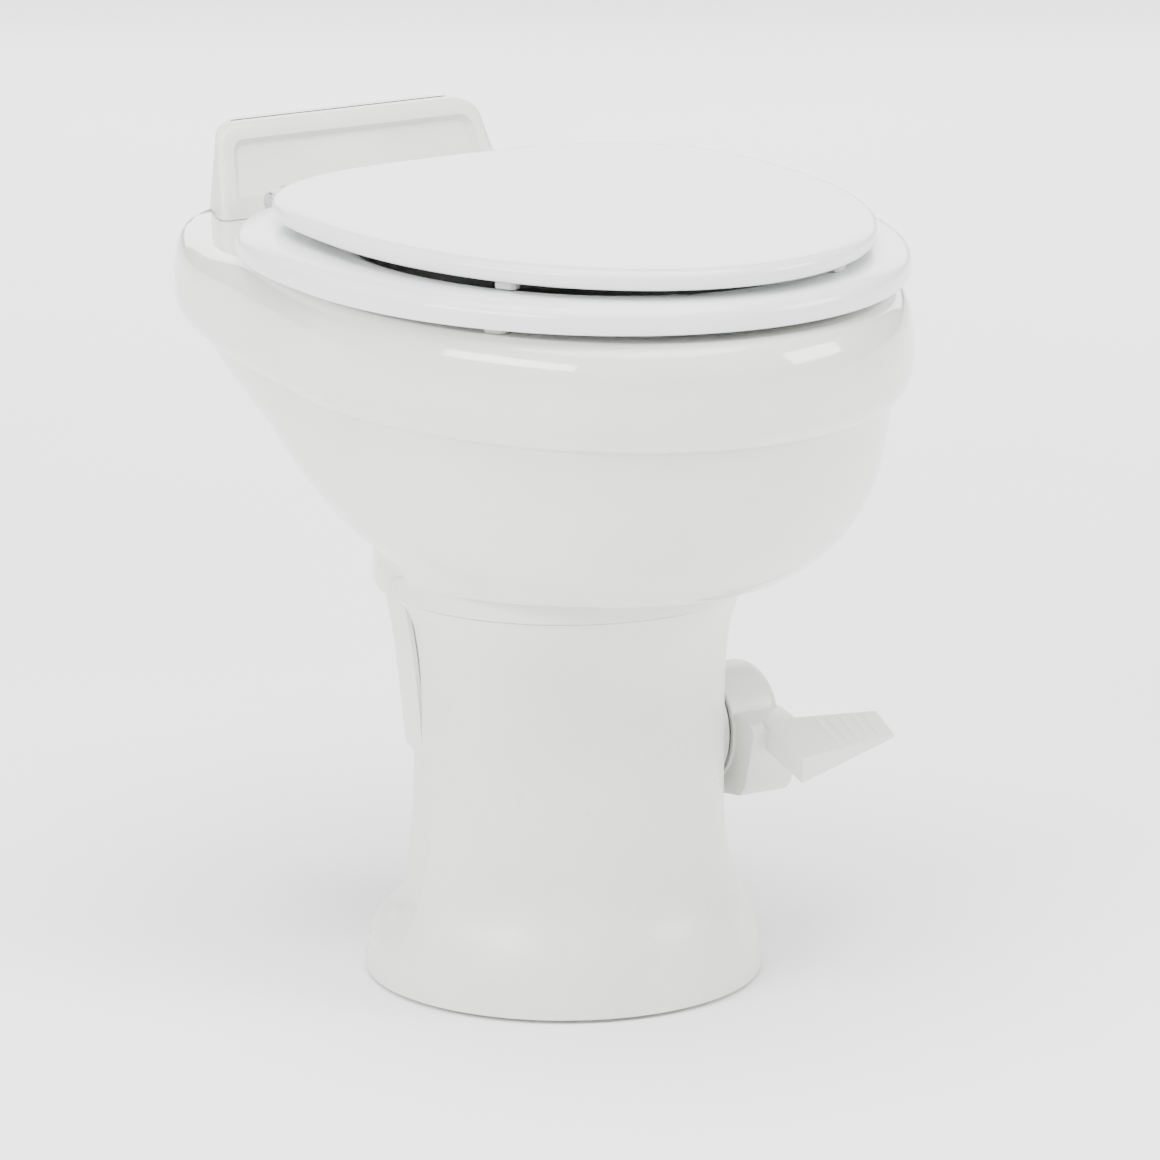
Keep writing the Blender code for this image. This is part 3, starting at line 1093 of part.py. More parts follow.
def bumper(name, at, ahead, low, high, finish):
    """Small rounded pad laid along a direction."""
    across = Vector((-ahead.y, ahead.x))
    long, wide = BUMPER_LENGTH / 2, BUMPER_WIDTH / 2
    chamfer = wide / 2
    outline = [(long, wide - chamfer), (long - chamfer, wide), (chamfer - long, wide), (-long, wide - chamfer),
               (-long, chamfer - wide), (chamfer - long, -wide), (long - chamfer, -wide), (long, chamfer - wide)]
    points = [at + ahead * u + across * v for u, v in outline]
    return prism(name, [(p.x, p.y) for p in points], low, high, finish, "Z")


def place_on(outline, degrees, inset):
    """Point set in from an outline, and the direction along it."""
    angle = math.radians(degrees)
    step = math.radians(1)
    before, after = (Vector(egg_point(a, *outline)) for a in (angle - step, angle + step))
    ahead = (after - before).normalized()
    return Vector(egg_point(angle, *outline)) + Vector((-ahead.y, ahead.x)) * inset, ahead


def make_seat(plastic, rubber):
    """Seat ring with two rear arms on the hinge, and the pads under it."""
    outline = (SEAT_HALF_WIDTH, SEAT_FRONT_REACH, SEAT_REAR_REACH, BOWL_WIDEST_Y, SEAT_REAR_POWER)
    outer = egg(SEAT_BOTTOM, *outline)
    inner = egg(SEAT_BOTTOM, SEAT_HALF_WIDTH - SEAT_RING_WIDTH, SEAT_FRONT_REACH - SEAT_RING_WIDTH,
                SEAT_OPENING_REAR, BOWL_WIDEST_Y)
    loops = []
    for up, inward in SEAT_SECTION_SHARES:
        lift = Vector((0, 0, up * SEAT_THICKNESS))
        loops.append([a.lerp(b, inward) + lift for a, b in zip(outer, inner)])
    seat = loft("seat_ring", loops, plastic, ring=True)
    root = SEAT_REAR_REACH - 2 * ARM_ROOT_OVERLAP
    low, high = HINGE_AXIS - ARM_THICKNESS / 2, HINGE_AXIS + ARM_THICKNESS / 2
    outline_arm = [(root, low), (HINGE_Y, HINGE_AXIS - HINGE_EYE_RADIUS)]
    outline_arm += arc(HINGE_EYE_RADIUS, (HINGE_Y, HINGE_AXIS), -75, 90, 8) + [(root, high)]
    for sign in (-1, 1):
        start = HINGE_X + POST_SIDE
        near, far = sorted((sign * start, sign * (start + HINGE_ARM_WIDTH)))
        add(seat, prism("seat_arm", outline_arm, near, far, None))
        near, far = near - OVERRUN, far + OVERRUN
        cut(seat, rod("seat_pin_hole", HINGE_PIN_RADIUS + HINGE_PIN_CLEARANCE, near, far, None, "X",
                      (0, HINGE_Y, HINGE_AXIS)))
    pads = []
    for number, degrees in enumerate(SEAT_BUMPER_DEGREES, 1):
        at, ahead = place_on(outline, degrees, SEAT_BUMPER_INSET)
        pads.append(bumper(f"seat_bumper_{number}", at, ahead, RIM_HEIGHT + GAP, SEAT_BOTTOM - GAP, rubber))
    return seat, pads


def make_lid(plastic, rubber):
    """Lid with a shallow recess underneath, two rear arms on the hinge, and its pads."""
    def level(height, inset):
        return egg(height, LID_HALF_WIDTH - inset, LID_FRONT_REACH - inset, LID_REAR_REACH - inset,
                   LID_WIDEST_Y, LID_REAR_POWER)

    loops = [level(LID_BOTTOM + LID_RECESS, LID_LIP), level(LID_BOTTOM, LID_LIP)]
    loops += [level(LID_BOTTOM + up * LID_THICKNESS, inset * LID_EDGE) for up, inset in LID_EDGE_SHARES]
    lid = loft("lid", loops, plastic)
    root = LID_REAR_REACH - ARM_ROOT_OVERLAP
    bottom, top = LID_BOTTOM + GAP, LID_TOP - LID_EDGE / 2
    arm = arc(HINGE_EYE_RADIUS, (HINGE_Y, HINGE_AXIS), -170, 80, 12)
    arm += [(SEAT_REAR_REACH, SEAT_TOP + LID_ARM_BEND), (root, top), (root, bottom),
            (SEAT_REAR_REACH - LID_ARM_BEND, SEAT_TOP + LID_ARM_CLEARANCE), (HINGE_Y - LID_ARM_STEP, SEAT_TOP)]
    for sign in (-1, 1):
        start = HINGE_X - POST_SIDE
        near, far = sorted((sign * start, sign * (start - HINGE_ARM_WIDTH)))
        add(lid, prism("lid_arm", arm, near, far, None))
        near, far = near - OVERRUN, far + OVERRUN
        cut(lid, rod("lid_pin_hole", HINGE_PIN_RADIUS + HINGE_PIN_CLEARANCE, near, far, None, "X",
                     (0, HINGE_Y, HINGE_AXIS)))
    outline = (LID_HALF_WIDTH, LID_FRONT_REACH, LID_REAR_REACH, LID_WIDEST_Y, LID_REAR_POWER)
    pads = []
    for number, degrees in enumerate(LID_BUMPER_DEGREES, 1):
        at, ahead = place_on(outline, degrees, LID_BUMPER_INSET)
        pads.append(bumper(f"lid_bumper_{number}", at, ahead, SEAT_TOP + GAP, LID_BOTTOM - GAP, rubber))
    return lid, pads


def make_hinge(plastic, steel):
    """Hinge posts bolted through the deck, each with a pin for one seat arm and one lid arm."""
    base = DECK_HEIGHT + GAP
    bolt_top = base + HINGE_FOOT_HEIGHT + HINGE_BOLT_SOCKET
    for side, sign in (("left", -1), ("right", 1)):
        x = sign * HINGE_X
        at = (x, HINGE_Y, 0)
        post = rod("hinge_post_" + side, HINGE_FOOT_RADIUS, base, base + HINGE_FOOT_HEIGHT, plastic, "Z", at,
                   MIDDLE_STEPS)
        web = [(HINGE_Y - HINGE_POST_RADIUS, base + GAP), (HINGE_Y + HINGE_POST_RADIUS, base + GAP)]
        web += arc(HINGE_POST_RADIUS, (HINGE_Y, HINGE_AXIS), 0, 180, 10)
        half = HINGE_POST_WIDTH / 2
        add(post, prism("hinge_web", web, x - half, x + half, None))
        cut(post, rod("post_pin_hole", HINGE_PIN_RADIUS + GAP, x - half - OVERRUN, x + half + OVERRUN, None,
                      "X", (0, HINGE_Y, HINGE_AXIS)))
        cut(post, rod("bolt_socket", HINGE_BOLT_RADIUS + GAP, base - OVERRUN, bolt_top, None, "Z", at))
        rod("hinge_bolt_" + side, HINGE_BOLT_RADIUS, DECK_UNDERSIDE - HINGE_BOLT_TAIL, bolt_top - GAP, steel,
            "Z", at)
        nut("hinge_nut_" + side, HINGE_NUT_RADIUS, HINGE_BOLT_RADIUS + FIXING_CLEARANCE,
            DECK_UNDERSIDE - 2 * GAP - HINGE_NUT_HEIGHT, DECK_UNDERSIDE - 2 * GAP, plastic, "Z", at)
        inner = HINGE_X - POST_SIDE - HINGE_ARM_WIDTH - HINGE_ARM_GAP
        outer = HINGE_X + POST_SIDE + HINGE_ARM_WIDTH + HINGE_ARM_GAP
        profile = ((HINGE_PIN_RADIUS, inner), (HINGE_PIN_RADIUS, outer), (HINGE_PIN_HEAD_RADIUS, outer),
                   (HINGE_PIN_HEAD_RADIUS, outer + HINGE_PIN_HEAD))
        turned("hinge_pin_" + side, [(r, sign * along) for r, along in profile], steel, "X",
               (0, HINGE_Y, HINGE_AXIS))


def inset_outline(points, wall):
    """Move each side of an outline inwards by a wall thickness."""
    points = [Vector(p) for p in points]
    area = sum(a.cross(b) for a, b in zip(points, points[1:] + points[:1]))
    turn = 1 if area > 0 else -1
    result = []
    for i, point in enumerate(points):
        before = (point - points[i - 1]).normalized()
        after = (points[(i + 1) % len(points)] - point).normalized()
        n0, n1 = (turn * Vector((-d.y, d.x)) for d in (before, after))
        result.append(point + (n0 + n1) * wall / (1 + n0.dot(n1)))
    return [(p.x, p.y) for p in result]


def tread_section(share, wall, depth):
    """Corners (y, z) of the tread part of the way along it."""
    corners = []
    for (y0, z0), (y1, z1) in zip(TREAD_ROOT_SHARES, TREAD_END_SHARES):
        y, z = y0 + (y1 - y0) * share, z0 + (z1 - z0) * share
        corners.append(Vector((y * PEDAL_TREAD_REACH, VALVE_AXIS_HEIGHT + z * PEDAL_TREAD_REACH)))
    rear_top, front_top, front_low, rear_low = corners
    inward = Vector((wall, 0))
    drop = Vector((0, wall))
    down = Vector((0, depth))
    return [rear_top - inward - drop, front_top + inward - drop, front_low + inward - down,
            rear_low - inward - down]


def tread_piece(name, start, end, wall, depth, finish):
    """Stretch of the tread between two shares of its length."""
    loops = []
    for share in (start, end):
        x = TREAD_ROOT_X + (PEDAL_TREAD_END - TREAD_ROOT_X) * share
        loops.append([Vector((x, p.x, p.y)) for p in tread_section(share, wall, depth)])
    return loft(name, loops, finish)


def make_pedal(plastic, steel):
    """Foot pedal: hollow hub on the shaft, hollow arm, and a ribbed tread."""
    axis = (0, 0, VALVE_AXIS_HEIGHT)
    inner, outer = PEDAL_INNER_X, PEDAL_OUTER_X
    wall = PEDAL_HUB_WALL
    boss = inner + PEDAL_ARM_INSET
    recess = PEDAL_SCREW_HEAD + FIXING_CLEARANCE
    seat = outer - PEDAL_SCREW_HEAD_HEIGHT - GAP
    screw_hole = PEDAL_SCREW_RADIUS + GAP
    end = outer - PEDAL_END_WALL
    rounding = [(PEDAL_HUB_RADIUS - PEDAL_EDGE_RADIUS + y, outer - PEDAL_EDGE_RADIUS + x)
                for y, x in arc(PEDAL_EDGE_RADIUS, (0, 0), 0, 90, 5)]
    hollow = PEDAL_HUB_RADIUS - wall
    profile = [(SHAFT_RADIUS + GAP, boss), (PEDAL_BOSS_RADIUS, boss), (PEDAL_BOSS_RADIUS, end),
               (hollow - wall, end), (hollow, outer - PEDAL_EDGE_RADIUS), (hollow, inner),
               (PEDAL_HUB_RADIUS, inner)] + rounding
    profile += [(recess, outer), (recess, seat), (screw_hole, seat), (screw_hole, end),
                (SHAFT_RADIUS + GAP, end)]
    pedal = turned("pedal", profile, plastic, "X", axis, MIDDLE_STEPS, ring=True)

    side = [(y * PEDAL_HUB_RADIUS, VALVE_AXIS_HEIGHT + z * PEDAL_HUB_RADIUS) for y, z in PEDAL_ARM_SHARES]
    near, far = inner + PEDAL_ARM_INSET, outer - PEDAL_ARM_INSET
    arm = prism("pedal_arm", side, near, far, None)
    cut(arm, prism("arm_hollow", inset_outline(side, PEDAL_ARM_WALL), near - OVERRUN, far - PEDAL_ARM_WALL, None))
    cut(arm, rod("arm_hub_hole", PEDAL_HUB_RADIUS - wall / 2, inner - OVERRUN, outer + OVERRUN, None, "X",
                 axis, MIDDLE_STEPS))
    tread = tread_piece("tread", 0, 1, 0, 0, None)
    pitch = (TREAD_POCKETS_END_SHARE - TREAD_POCKETS_START_SHARE) / TREAD_POCKETS
    rib = TREAD_WALL / (PEDAL_TREAD_END - TREAD_ROOT_X)
    for number in range(TREAD_POCKETS):
        start = TREAD_POCKETS_START_SHARE + pitch * number
        cut(tread, tread_piece("tread_pocket", start + rib, start + pitch, TREAD_WALL, OVERRUN, None))
    add(pedal, arm, tread)

    end_of_thread = PEDAL_OUTER_X - PEDAL_END_WALL - PEDAL_SCREW_DEPTH
    screw = turned("pedal_screw", (
        (PEDAL_SCREW_RADIUS, end_of_thread), (PEDAL_SCREW_RADIUS, outer - PEDAL_SCREW_HEAD_HEIGHT),
        (PEDAL_SCREW_HEAD, outer - PEDAL_SCREW_HEAD_HEIGHT), (PEDAL_SCREW_HEAD, outer),
    ), steel, "X", axis)
    return pedal, screw


def build():
    for thing in list(bpy.data.objects):
        bpy.data.objects.remove(thing)
    china = material("china", (0.86, 0.87, 0.85), 0.08)
    moulded = material("moulded", (0.85, 0.86, 0.84), 0.22)
    seat_plastic = material("seat_plastic", (0.88, 0.89, 0.89), 0.15)
    plastic = material("plastic", (0.62, 0.63, 0.62), 0.4)
    dark = material("dark_plastic", (0.05, 0.05, 0.05), 0.5)
    rubber = material("rubber", (0.35, 0.36, 0.36), 0.7)
    steel = material("steel", (0.60, 0.60, 0.58), 0.3, 1.0)

    make_pedestal(moulded)
    make_shroud(moulded)
    make_floor_fixings(steel, rubber)
    ball, pivot, shaft = make_valve(plastic, rubber, steel)
    cam = make_cam(plastic)
    make_spring(plastic, steel)
    plunger, swivel = make_water_valve(plastic, steel)
    make_bowl(china)
    make_bowl_fixings(steel, rubber)
    make_cover(moulded)
    breaker_float = make_breaker(plastic, dark)
    make_hoses(dark, steel, rubber)
    seat, seat_pads = make_seat(seat_plastic, rubber)
    lid, lid_pads = make_lid(seat_plastic, rubber)
    make_hinge(seat_plastic, steel)
    pedal, screw = make_pedal(moulded, steel)

    hang("pedal_axis", (0, 0, VALVE_AXIS_HEIGHT), pedal, screw, shaft, pivot, ball, cam)
    hang("plunger_axis", (WATER_VALVE_X, 0, WATER_VALVE_TOP), plunger)
    hang("inlet_nut_axis", (WATER_VALVE_X, PORT_REACH, INLET_HEIGHT), swivel)
    hang("float_axis", (0, BREAKER_Y, BREAKER_BORE_HEIGHT), breaker_float)
    hinge = (0, HINGE_Y, HINGE_AXIS)
    seat_axis = hang("seat_axis", hinge, seat, *seat_pads)
    lid_axis = hang("lid_axis", hinge, lid, *lid_pads)
    lid_axis.parent = seat_axis
    lid_axis.matrix_parent_inverse = Matrix.Translation(-Vector(hinge))


build()
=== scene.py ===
"""Looks for a motor home toilet: glazed china bowl, moulded pedestal, seat, lid, cover and pedal.

Metres, +Z up, front towards -Y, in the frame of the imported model.
"""

import math

import bmesh
import bpy
from mathutils import Matrix, Vector


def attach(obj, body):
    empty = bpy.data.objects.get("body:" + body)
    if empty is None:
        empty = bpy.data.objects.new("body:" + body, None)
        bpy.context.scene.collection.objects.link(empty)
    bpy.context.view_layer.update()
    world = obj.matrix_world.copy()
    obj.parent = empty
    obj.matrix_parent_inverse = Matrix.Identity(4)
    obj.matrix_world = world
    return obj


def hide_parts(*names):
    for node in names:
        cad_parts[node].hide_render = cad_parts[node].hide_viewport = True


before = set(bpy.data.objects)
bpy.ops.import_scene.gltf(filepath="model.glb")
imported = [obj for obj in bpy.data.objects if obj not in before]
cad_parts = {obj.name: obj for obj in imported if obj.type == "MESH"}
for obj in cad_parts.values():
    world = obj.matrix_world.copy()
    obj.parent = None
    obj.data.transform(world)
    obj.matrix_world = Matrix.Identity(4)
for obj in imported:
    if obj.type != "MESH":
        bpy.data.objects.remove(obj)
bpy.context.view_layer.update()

MM = 0.001
# A step small enough not to show, which keeps two faces out of one plane
GAP = 0.3 * MM

# Places that several pieces share
SHAFT_HEIGHT = 141 * MM
WATER_X, INLET_HEIGHT, OUTLET_HEIGHT = 61.6 * MM, 44 * MM, 68 * MM
BREAKER_LEG_X, BREAKER_LEG_Y = 28 * MM, 269 * MM
HINGE_Y = 205 * MM
HINGE_Z = 456 * MM
HINGE_BOLT_X = 70 * MM

# Steps round a thing
COLUMN_STEPS = 192
BOWL_STEPS = 224
HUB_STEPS = 128

# Most of a noise pattern lies between these
NOISE_LOW, NOISE_HIGH = 0.3, 0.7


# Helpers

def hex_colour(text):
    """Linear colour from an sRGB hex value."""
    shares = [int(text[i:i + 2], 16) / 255 for i in (1, 3, 5)]
    linear = [s / 12.92 if s <= 0.04045 else ((s + 0.055) / 1.055) ** 2.4 for s in shares]
    return (*linear, 1.0)


def node(finish, kind, settings=None, **sockets):
    """Add a node to a material, with its settings and with values or links on its sockets."""
    made = finish.node_tree.nodes.new(kind)
    for name, value in (settings or {}).items():
        setattr(made, name, value)
    for name, value in sockets.items():
        socket = made.inputs[name.replace("_", " ")]
        if isinstance(value, bpy.types.NodeSocket):
            finish.node_tree.links.new(value, socket)
        else:
            socket.default_value = value
    return made


def new_finish(name):
    """An empty node material, its shader, and a place in metres on the object."""
    finish = bpy.data.materials.new(name)
    finish.use_nodes = True
    place = node(finish, "ShaderNodeTexCoord").outputs["Object"]
    return finish, finish.node_tree.nodes["Principled BSDF"], place


def shades(finish, amount, *stops):
    """Colours along an amount from 0 to 1, as (place, hex value)."""
    ramp = node(finish, "ShaderNodeValToRGB", Fac=amount)
    elements = ramp.color_ramp.elements
    while len(elements) < len(stops):
        elements.new(0.5)
    for element, (at, colour) in zip(elements, stops):
        element.position = at
        element.color = hex_colour(colour)
    return ramp.outputs["Color"]


def between(finish, amount, low, high, start=0.0, end=1.0):
    """An amount from start to end, turned to a value from low to high."""
    return node(finish, "ShaderNodeMapRange", Value=amount, From_Min=start, From_Max=end,
                To_Min=low, To_Max=high).outputs["Result"]


def noise(finish, place, size, detail=2.0, rough=0.5):
    """Cloudy pattern whose patches are about this size in metres."""
    return node(finish, "ShaderNodeTexNoise", Vector=place, Scale=1 / size, Detail=detail,
                Roughness=rough).outputs["Fac"]


# Finishes

def glazed_china(name, light, dark):
    """Vitreous china under a fired clear glaze: deep wet gloss over a milky body, with the faint
    ripple of the glaze, which bends long highlights a little."""
    finish, shader, place = new_finish(name)
    cloud = noise(finish, place, 90 * MM, 3.0)
    links = finish.node_tree.links
    links.new(shades(finish, cloud, (0.3, dark), (0.7, light)), shader.inputs["Base Color"])
    wipe = noise(finish, place, 30 * MM, 4.0, 0.6)
    links.new(between(finish, wipe, 0.075, 0.135, NOISE_LOW, NOISE_HIGH),
              shader.inputs["Roughness"])
    ripple = node(finish, "ShaderNodeBump", Strength=0.6, Distance=0.10 * MM,
                  Height=noise(finish, place, 16 * MM, 1.0))
    # Pinholes in real glaze are about 0.2 mm: drawn at 1 mm so that they show at all
    pits = node(finish, "ShaderNodeBump", Strength=0.25, Distance=0.012 * MM,
                Height=noise(finish, place, 1.0 * MM, 1.0), Normal=ripple.outputs["Normal"])
    links.new(pits.outputs["Normal"], shader.inputs["Normal"])
    shader.inputs["IOR"].default_value = 1.5
    shader.inputs["Coat Weight"].default_value = 0.35
    shader.inputs["Coat Roughness"].default_value = 0.05
    shader.inputs["Subsurface Weight"].default_value = 0.04
    shader.inputs["Subsurface Scale"].default_value = 2 * MM
    return finish


def moulded(name, light, dark, smooth, rough, grain_size, grain_height, sink=0.05 * MM):
    """Injection moulded polymer: even colour with slight flow marks, a polish that varies where the
    tool was worn or hands have wiped it, a fine mould grain, and shallow sink over thick places."""
    finish, shader, place = new_finish(name)
    links = finish.node_tree.links
    flow = noise(finish, place, 70 * MM, 4.0, 0.55)
    links.new(shades(finish, flow, (0.32, dark), (0.68, light)), shader.inputs["Base Color"])
    polish = noise(finish, place, 22 * MM, 5.0, 0.62)
    links.new(between(finish, polish, smooth, rough, NOISE_LOW, NOISE_HIGH),
              shader.inputs["Roughness"])
    sunk = node(finish, "ShaderNodeBump", Strength=0.5, Distance=sink,
                Height=noise(finish, place, 45 * MM, 1.0))
    grain = node(finish, "ShaderNodeBump", Strength=0.5, Distance=grain_height,
                 Height=noise(finish, place, grain_size, 2.0), Normal=sunk.outputs["Normal"])
    links.new(grain.outputs["Normal"], shader.inputs["Normal"])
    shader.inputs["IOR"].default_value = 1.49
    return finish


def moulded_rubber(name, light, dark):
    """Moulded EPDM rubber: matt and slightly dusty, with a bloom that greys it in patches."""
    finish, shader, place = new_finish(name)
    links = finish.node_tree.links
    bloom = noise(finish, place, 9 * MM, 5.0, 0.65)
    links.new(shades(finish, bloom, (0.35, dark), (0.75, light)), shader.inputs["Base Color"])
    links.new(between(finish, bloom, 0.62, 0.8, NOISE_LOW, NOISE_HIGH), shader.inputs["Roughness"])
    skin = node(finish, "ShaderNodeBump", Strength=0.6, Distance=0.04 * MM,
                Height=noise(finish, place, 0.7 * MM, 2.0))
    links.new(skin.outputs["Normal"], shader.inputs["Normal"])
    shader.inputs["IOR"].default_value = 1.52
    return finish


def drawn_steel(name, light, dark):
    """Stainless steel, drawn and turned: bright, with fine tool marks round it that stretch its
    highlights, and a few duller places."""
    finish, shader, place = new_finish(name)
    links = finish.node_tree.links
    worn = noise(finish, place, 5 * MM, 4.0, 0.6)
    links.new(shades(finish, worn, (0.3, dark), (0.7, light)), shader.inputs["Base Color"])
    squeezed = node(finish, "ShaderNodeMapping", Vector=place, Scale=(1.0, 1.0, 9.0))
    marks = noise(finish, squeezed.outputs["Vector"], 1.2 * MM, 3.0)
    links.new(between(finish, marks, 0.24, 0.40, NOISE_LOW, NOISE_HIGH), shader.inputs["Roughness"])
    cut = node(finish, "ShaderNodeBump", Strength=0.4, Distance=0.015 * MM, Height=marks)
    links.new(cut.outputs["Normal"], shader.inputs["Normal"])
    shader.inputs["Metallic"].default_value = 1.0
    return finish


def braided_hose(name, light, dark):
    """Vinyl hose over a woven cord: two crossing spirals show faintly through the skin."""
    finish, shader, place = new_finish(name)
    links = finish.node_tree.links
    # Cord of 1.5 mm pitch, drawn at 3 mm
    pitch = 3 * MM
    # Metres between the bands of a wave texture at scale 1
    wave_length = 0.314
    strands = []
    for lean in (0.9, -0.9):
        tilted = node(finish, "ShaderNodeMapping", Vector=place, Rotation=(0.0, lean, 0.0))
        wave = node(finish, "ShaderNodeTexWave", {"bands_direction": "Z"},
                    Vector=tilted.outputs["Vector"], Scale=wave_length / pitch, Distortion=0.2)
        strands.append(wave.outputs["Fac"])
    both = node(finish, "ShaderNodeMath", {"operation": "MAXIMUM"})
    for socket, strand in zip(both.inputs, strands):
        links.new(strand, socket)
    weave = both.outputs["Value"]
    links.new(shades(finish, weave, (0.35, dark), (0.85, light)), shader.inputs["Base Color"])
    links.new(between(finish, weave, 0.48, 0.36), shader.inputs["Roughness"])
    raised = node(finish, "ShaderNodeBump", Strength=0.5, Distance=0.12 * MM, Height=weave)
    links.new(raised.outputs["Normal"], shader.inputs["Normal"])
    shader.inputs["IOR"].default_value = 1.53
    return finish


CHINA = glazed_china("glazed_vitreous_china", "#E6E7E2", "#DFE0DB")
# Polypropylene from a satin tool: a little softer than the china beside it
PEDESTAL_PLASTIC = moulded("satin_moulded_polypropylene", "#E6E7E3", "#E0E1DC", 0.26, 0.36,
                           1.1 * MM, 0.02 * MM)
# Urea from a polished tool: the hardest, coolest white of the object
SEAT_PLASTIC = moulded("polished_moulded_urea", "#EEEFF0", "#E8E9EA", 0.15, 0.23,
                       0.9 * MM, 0.008 * MM)
# Acetal as moulded, for the moving pieces inside
VALVE_PLASTIC = moulded("natural_moulded_acetal", "#DADAD2", "#CECEC6", 0.38, 0.50,
                        0.8 * MM, 0.03 * MM)
# Glass filled nylon: dark grey, dry, with a coarse skin
DARK_PLASTIC = moulded("glass_filled_nylon", "#35373A", "#292B2D", 0.45, 0.60,
                       0.6 * MM, 0.05 * MM)
RUBBER = moulded_rubber("moulded_epdm_rubber", "#3A3B3C", "#222324")
# Thermoplastic rubber in the seat's own white, for the pads
PAD_RUBBER = moulded("moulded_white_elastomer", "#DCDDDB", "#D0D1CF", 0.5, 0.65,
                     0.8 * MM, 0.03 * MM)
STEEL = drawn_steel("drawn_stainless_steel", "#C9CACA", "#B5B6B5")
HOSE = braided_hose("braided_vinyl_hose", "#8F9294", "#6E7173")


# Shapes

def cubic_weights(t):
    """Weights of two ends and of the slopes there, part of the way along a smooth curve."""
    return 2 * t**3 - 3 * t**2 + 1, 3 * t**2 - 2 * t**3, t**3 - 2 * t**2 + t, t**3 - t**2


def curve_through(rows, steps):
    """Rows of numbers along a smooth curve that passes through the rows given."""
    def slope(i, k):
        low, high = rows[max(i - 1, 0)], rows[min(i + 1, len(rows) - 1)]
        return (high[k] - low[k]) / (high[0] - low[0])

    made = []
    for i in range(len(rows) - 1):
        first, last = rows[i], rows[i + 1]
        span = last[0] - first[0]
        for s in range(steps):
            start, end, start_slope, end_slope = cubic_weights(s / steps)
            row = [first[0] + span * (s / steps)]
            for k in range(1, len(first)):
                row.append(first[k] * start + last[k] * end + slope(i, k) * span * start_slope
                           + slope(i + 1, k) * span * end_slope)
            made.append(tuple(row))
    return made + [tuple(rows[-1])]


def read_at(rows, place):
    """The value of a two column table at a place."""
    for (p0, v0), (p1, v1) in zip(rows, rows[1:]):
        if place <= p1:
            return v0 + (v1 - v0) * max((place - p0) / (p1 - p0), 0)
    return rows[-1][1]


def ease(value):
    """A share from 0 to 1 that starts and ends softly."""
    t = min(max(value, 0), 1)
    return t * t * (3 - 2 * t)


def ring_of_points(radius, height, angles):
    """Level circle round the upright axis."""
    return [Vector((radius * math.cos(a), radius * math.sin(a), height)) for a in angles]


def even_angles(steps):
    """A full turn in equal steps, in radians."""
    return [math.tau * i / steps for i in range(steps)]


def outline_point(angle, half_width, front, rear, middle, power=2.0, taper=0.0):
    """Point of a level outline: half an ellipse in front, half a superellipse behind."""
    c, s = math.cos(angle), math.sin(angle)
    exponent = 2 / (power if s > 0 else 2.0)
    reach = rear - middle if s > 0 else front + middle
    across = math.copysign(abs(c) ** exponent, c)
    along = math.copysign(abs(s) ** exponent, s)
    return half_width * across * (1 - taper * max(along, 0)), middle + reach * along


def outline(height, angles, *shape):
    """Level loop of outline points."""
    return [Vector((*outline_point(a, *shape), height)) for a in angles]


def skin(loops, closed=True, capped=False):
    """Faces between loops of equal length. closed joins the last loop to the first."""
    shape = bmesh.new()
    rows = [[shape.verts.new(p) for p in loop] for loop in loops]
    pairs = list(zip(rows, rows[1:])) + ([(rows[-1], rows[0])] if closed else [])
    for low, high in pairs:
        for i in range(len(low)):
            j = (i + 1) % len(low)
            shape.faces.new((low[i], low[j], high[j], high[i]))
    if capped:
        shape.faces.new(list(reversed(rows[0])))
        shape.faces.new(rows[-1])
    return shape


def put(name, shape, finish=None):
    """Object from a bmesh, smooth shaded up to a sharp angle."""
    bmesh.ops.recalc_face_normals(shape, faces=shape.faces)
    mesh = bpy.data.meshes.new(name)
    shape.to_mesh(mesh)
    shape.free()
    thing = bpy.data.objects.new(name, mesh)
    bpy.context.scene.collection.objects.link(thing)
    soften(thing)
    if finish:
        mesh.materials.append(finish)
    return thing


def soften(thing, sharp=35.0):
    """Smooth shading, with the edges sharper than an angle in degrees left crisp."""
    thing.data.shade_smooth()
    thing.data.set_sharp_from_angle(angle=math.radians(sharp))


def settle_modifiers(thing):
    """Apply a thing's modifiers to its mesh."""
    bpy.context.view_layer.update()
    graph = bpy.context.evaluated_depsgraph_get()
    mesh = bpy.data.meshes.new_from_object(thing.evaluated_get(graph))
    thing.modifiers.clear()
    thing.data = mesh


def boolean(target, operation, tool):
    """Cut or join a closed tool, which is used up."""
    step = target.modifiers.new("step", "BOOLEAN")
    step.operation = operation
    step.solver = "EXACT"
    step.object = tool
    settle_modifiers(target)
    bpy.data.objects.remove(tool)


def round_edges(thing, width, segments=3):
    """Small even rounding on every edge sharper than 30 degrees."""
    step = thing.modifiers.new("edges", "BEVEL")
    step.width = width
    step.segments = segments
    step.limit_method = "ANGLE"
    step.angle_limit = math.radians(30)
    settle_modifiers(thing)
    soften(thing, 40.0)


def join(target, *others):
    """Put other closed shapes into the same mesh."""
    shape = bmesh.new()
    shape.from_mesh(target.data)
    for other in others:
        shape.from_mesh(other.data)
        bpy.data.objects.remove(other)
    shape.to_mesh(target.data)
    shape.free()


def prism(name, points, low, high, axis="X"):
    """Flat outline pushed along an axis. Outline points are (y, z) for X and (x, y) for Z."""
    loops = []
    for level in (low, high):
        loops.append([Vector((level, a, b)) if axis == "X" else Vector((a, b, level))
                      for a, b in points])
    return put(name, skin(loops, closed=False, capped=True))


def box(name, low, high):
    """Plain block between two corners."""
    points = [(low[0], low[1]), (high[0], low[1]), (high[0], high[1]), (low[0], high[1])]
    return prism(name, points, low[2], high[2], "Z")


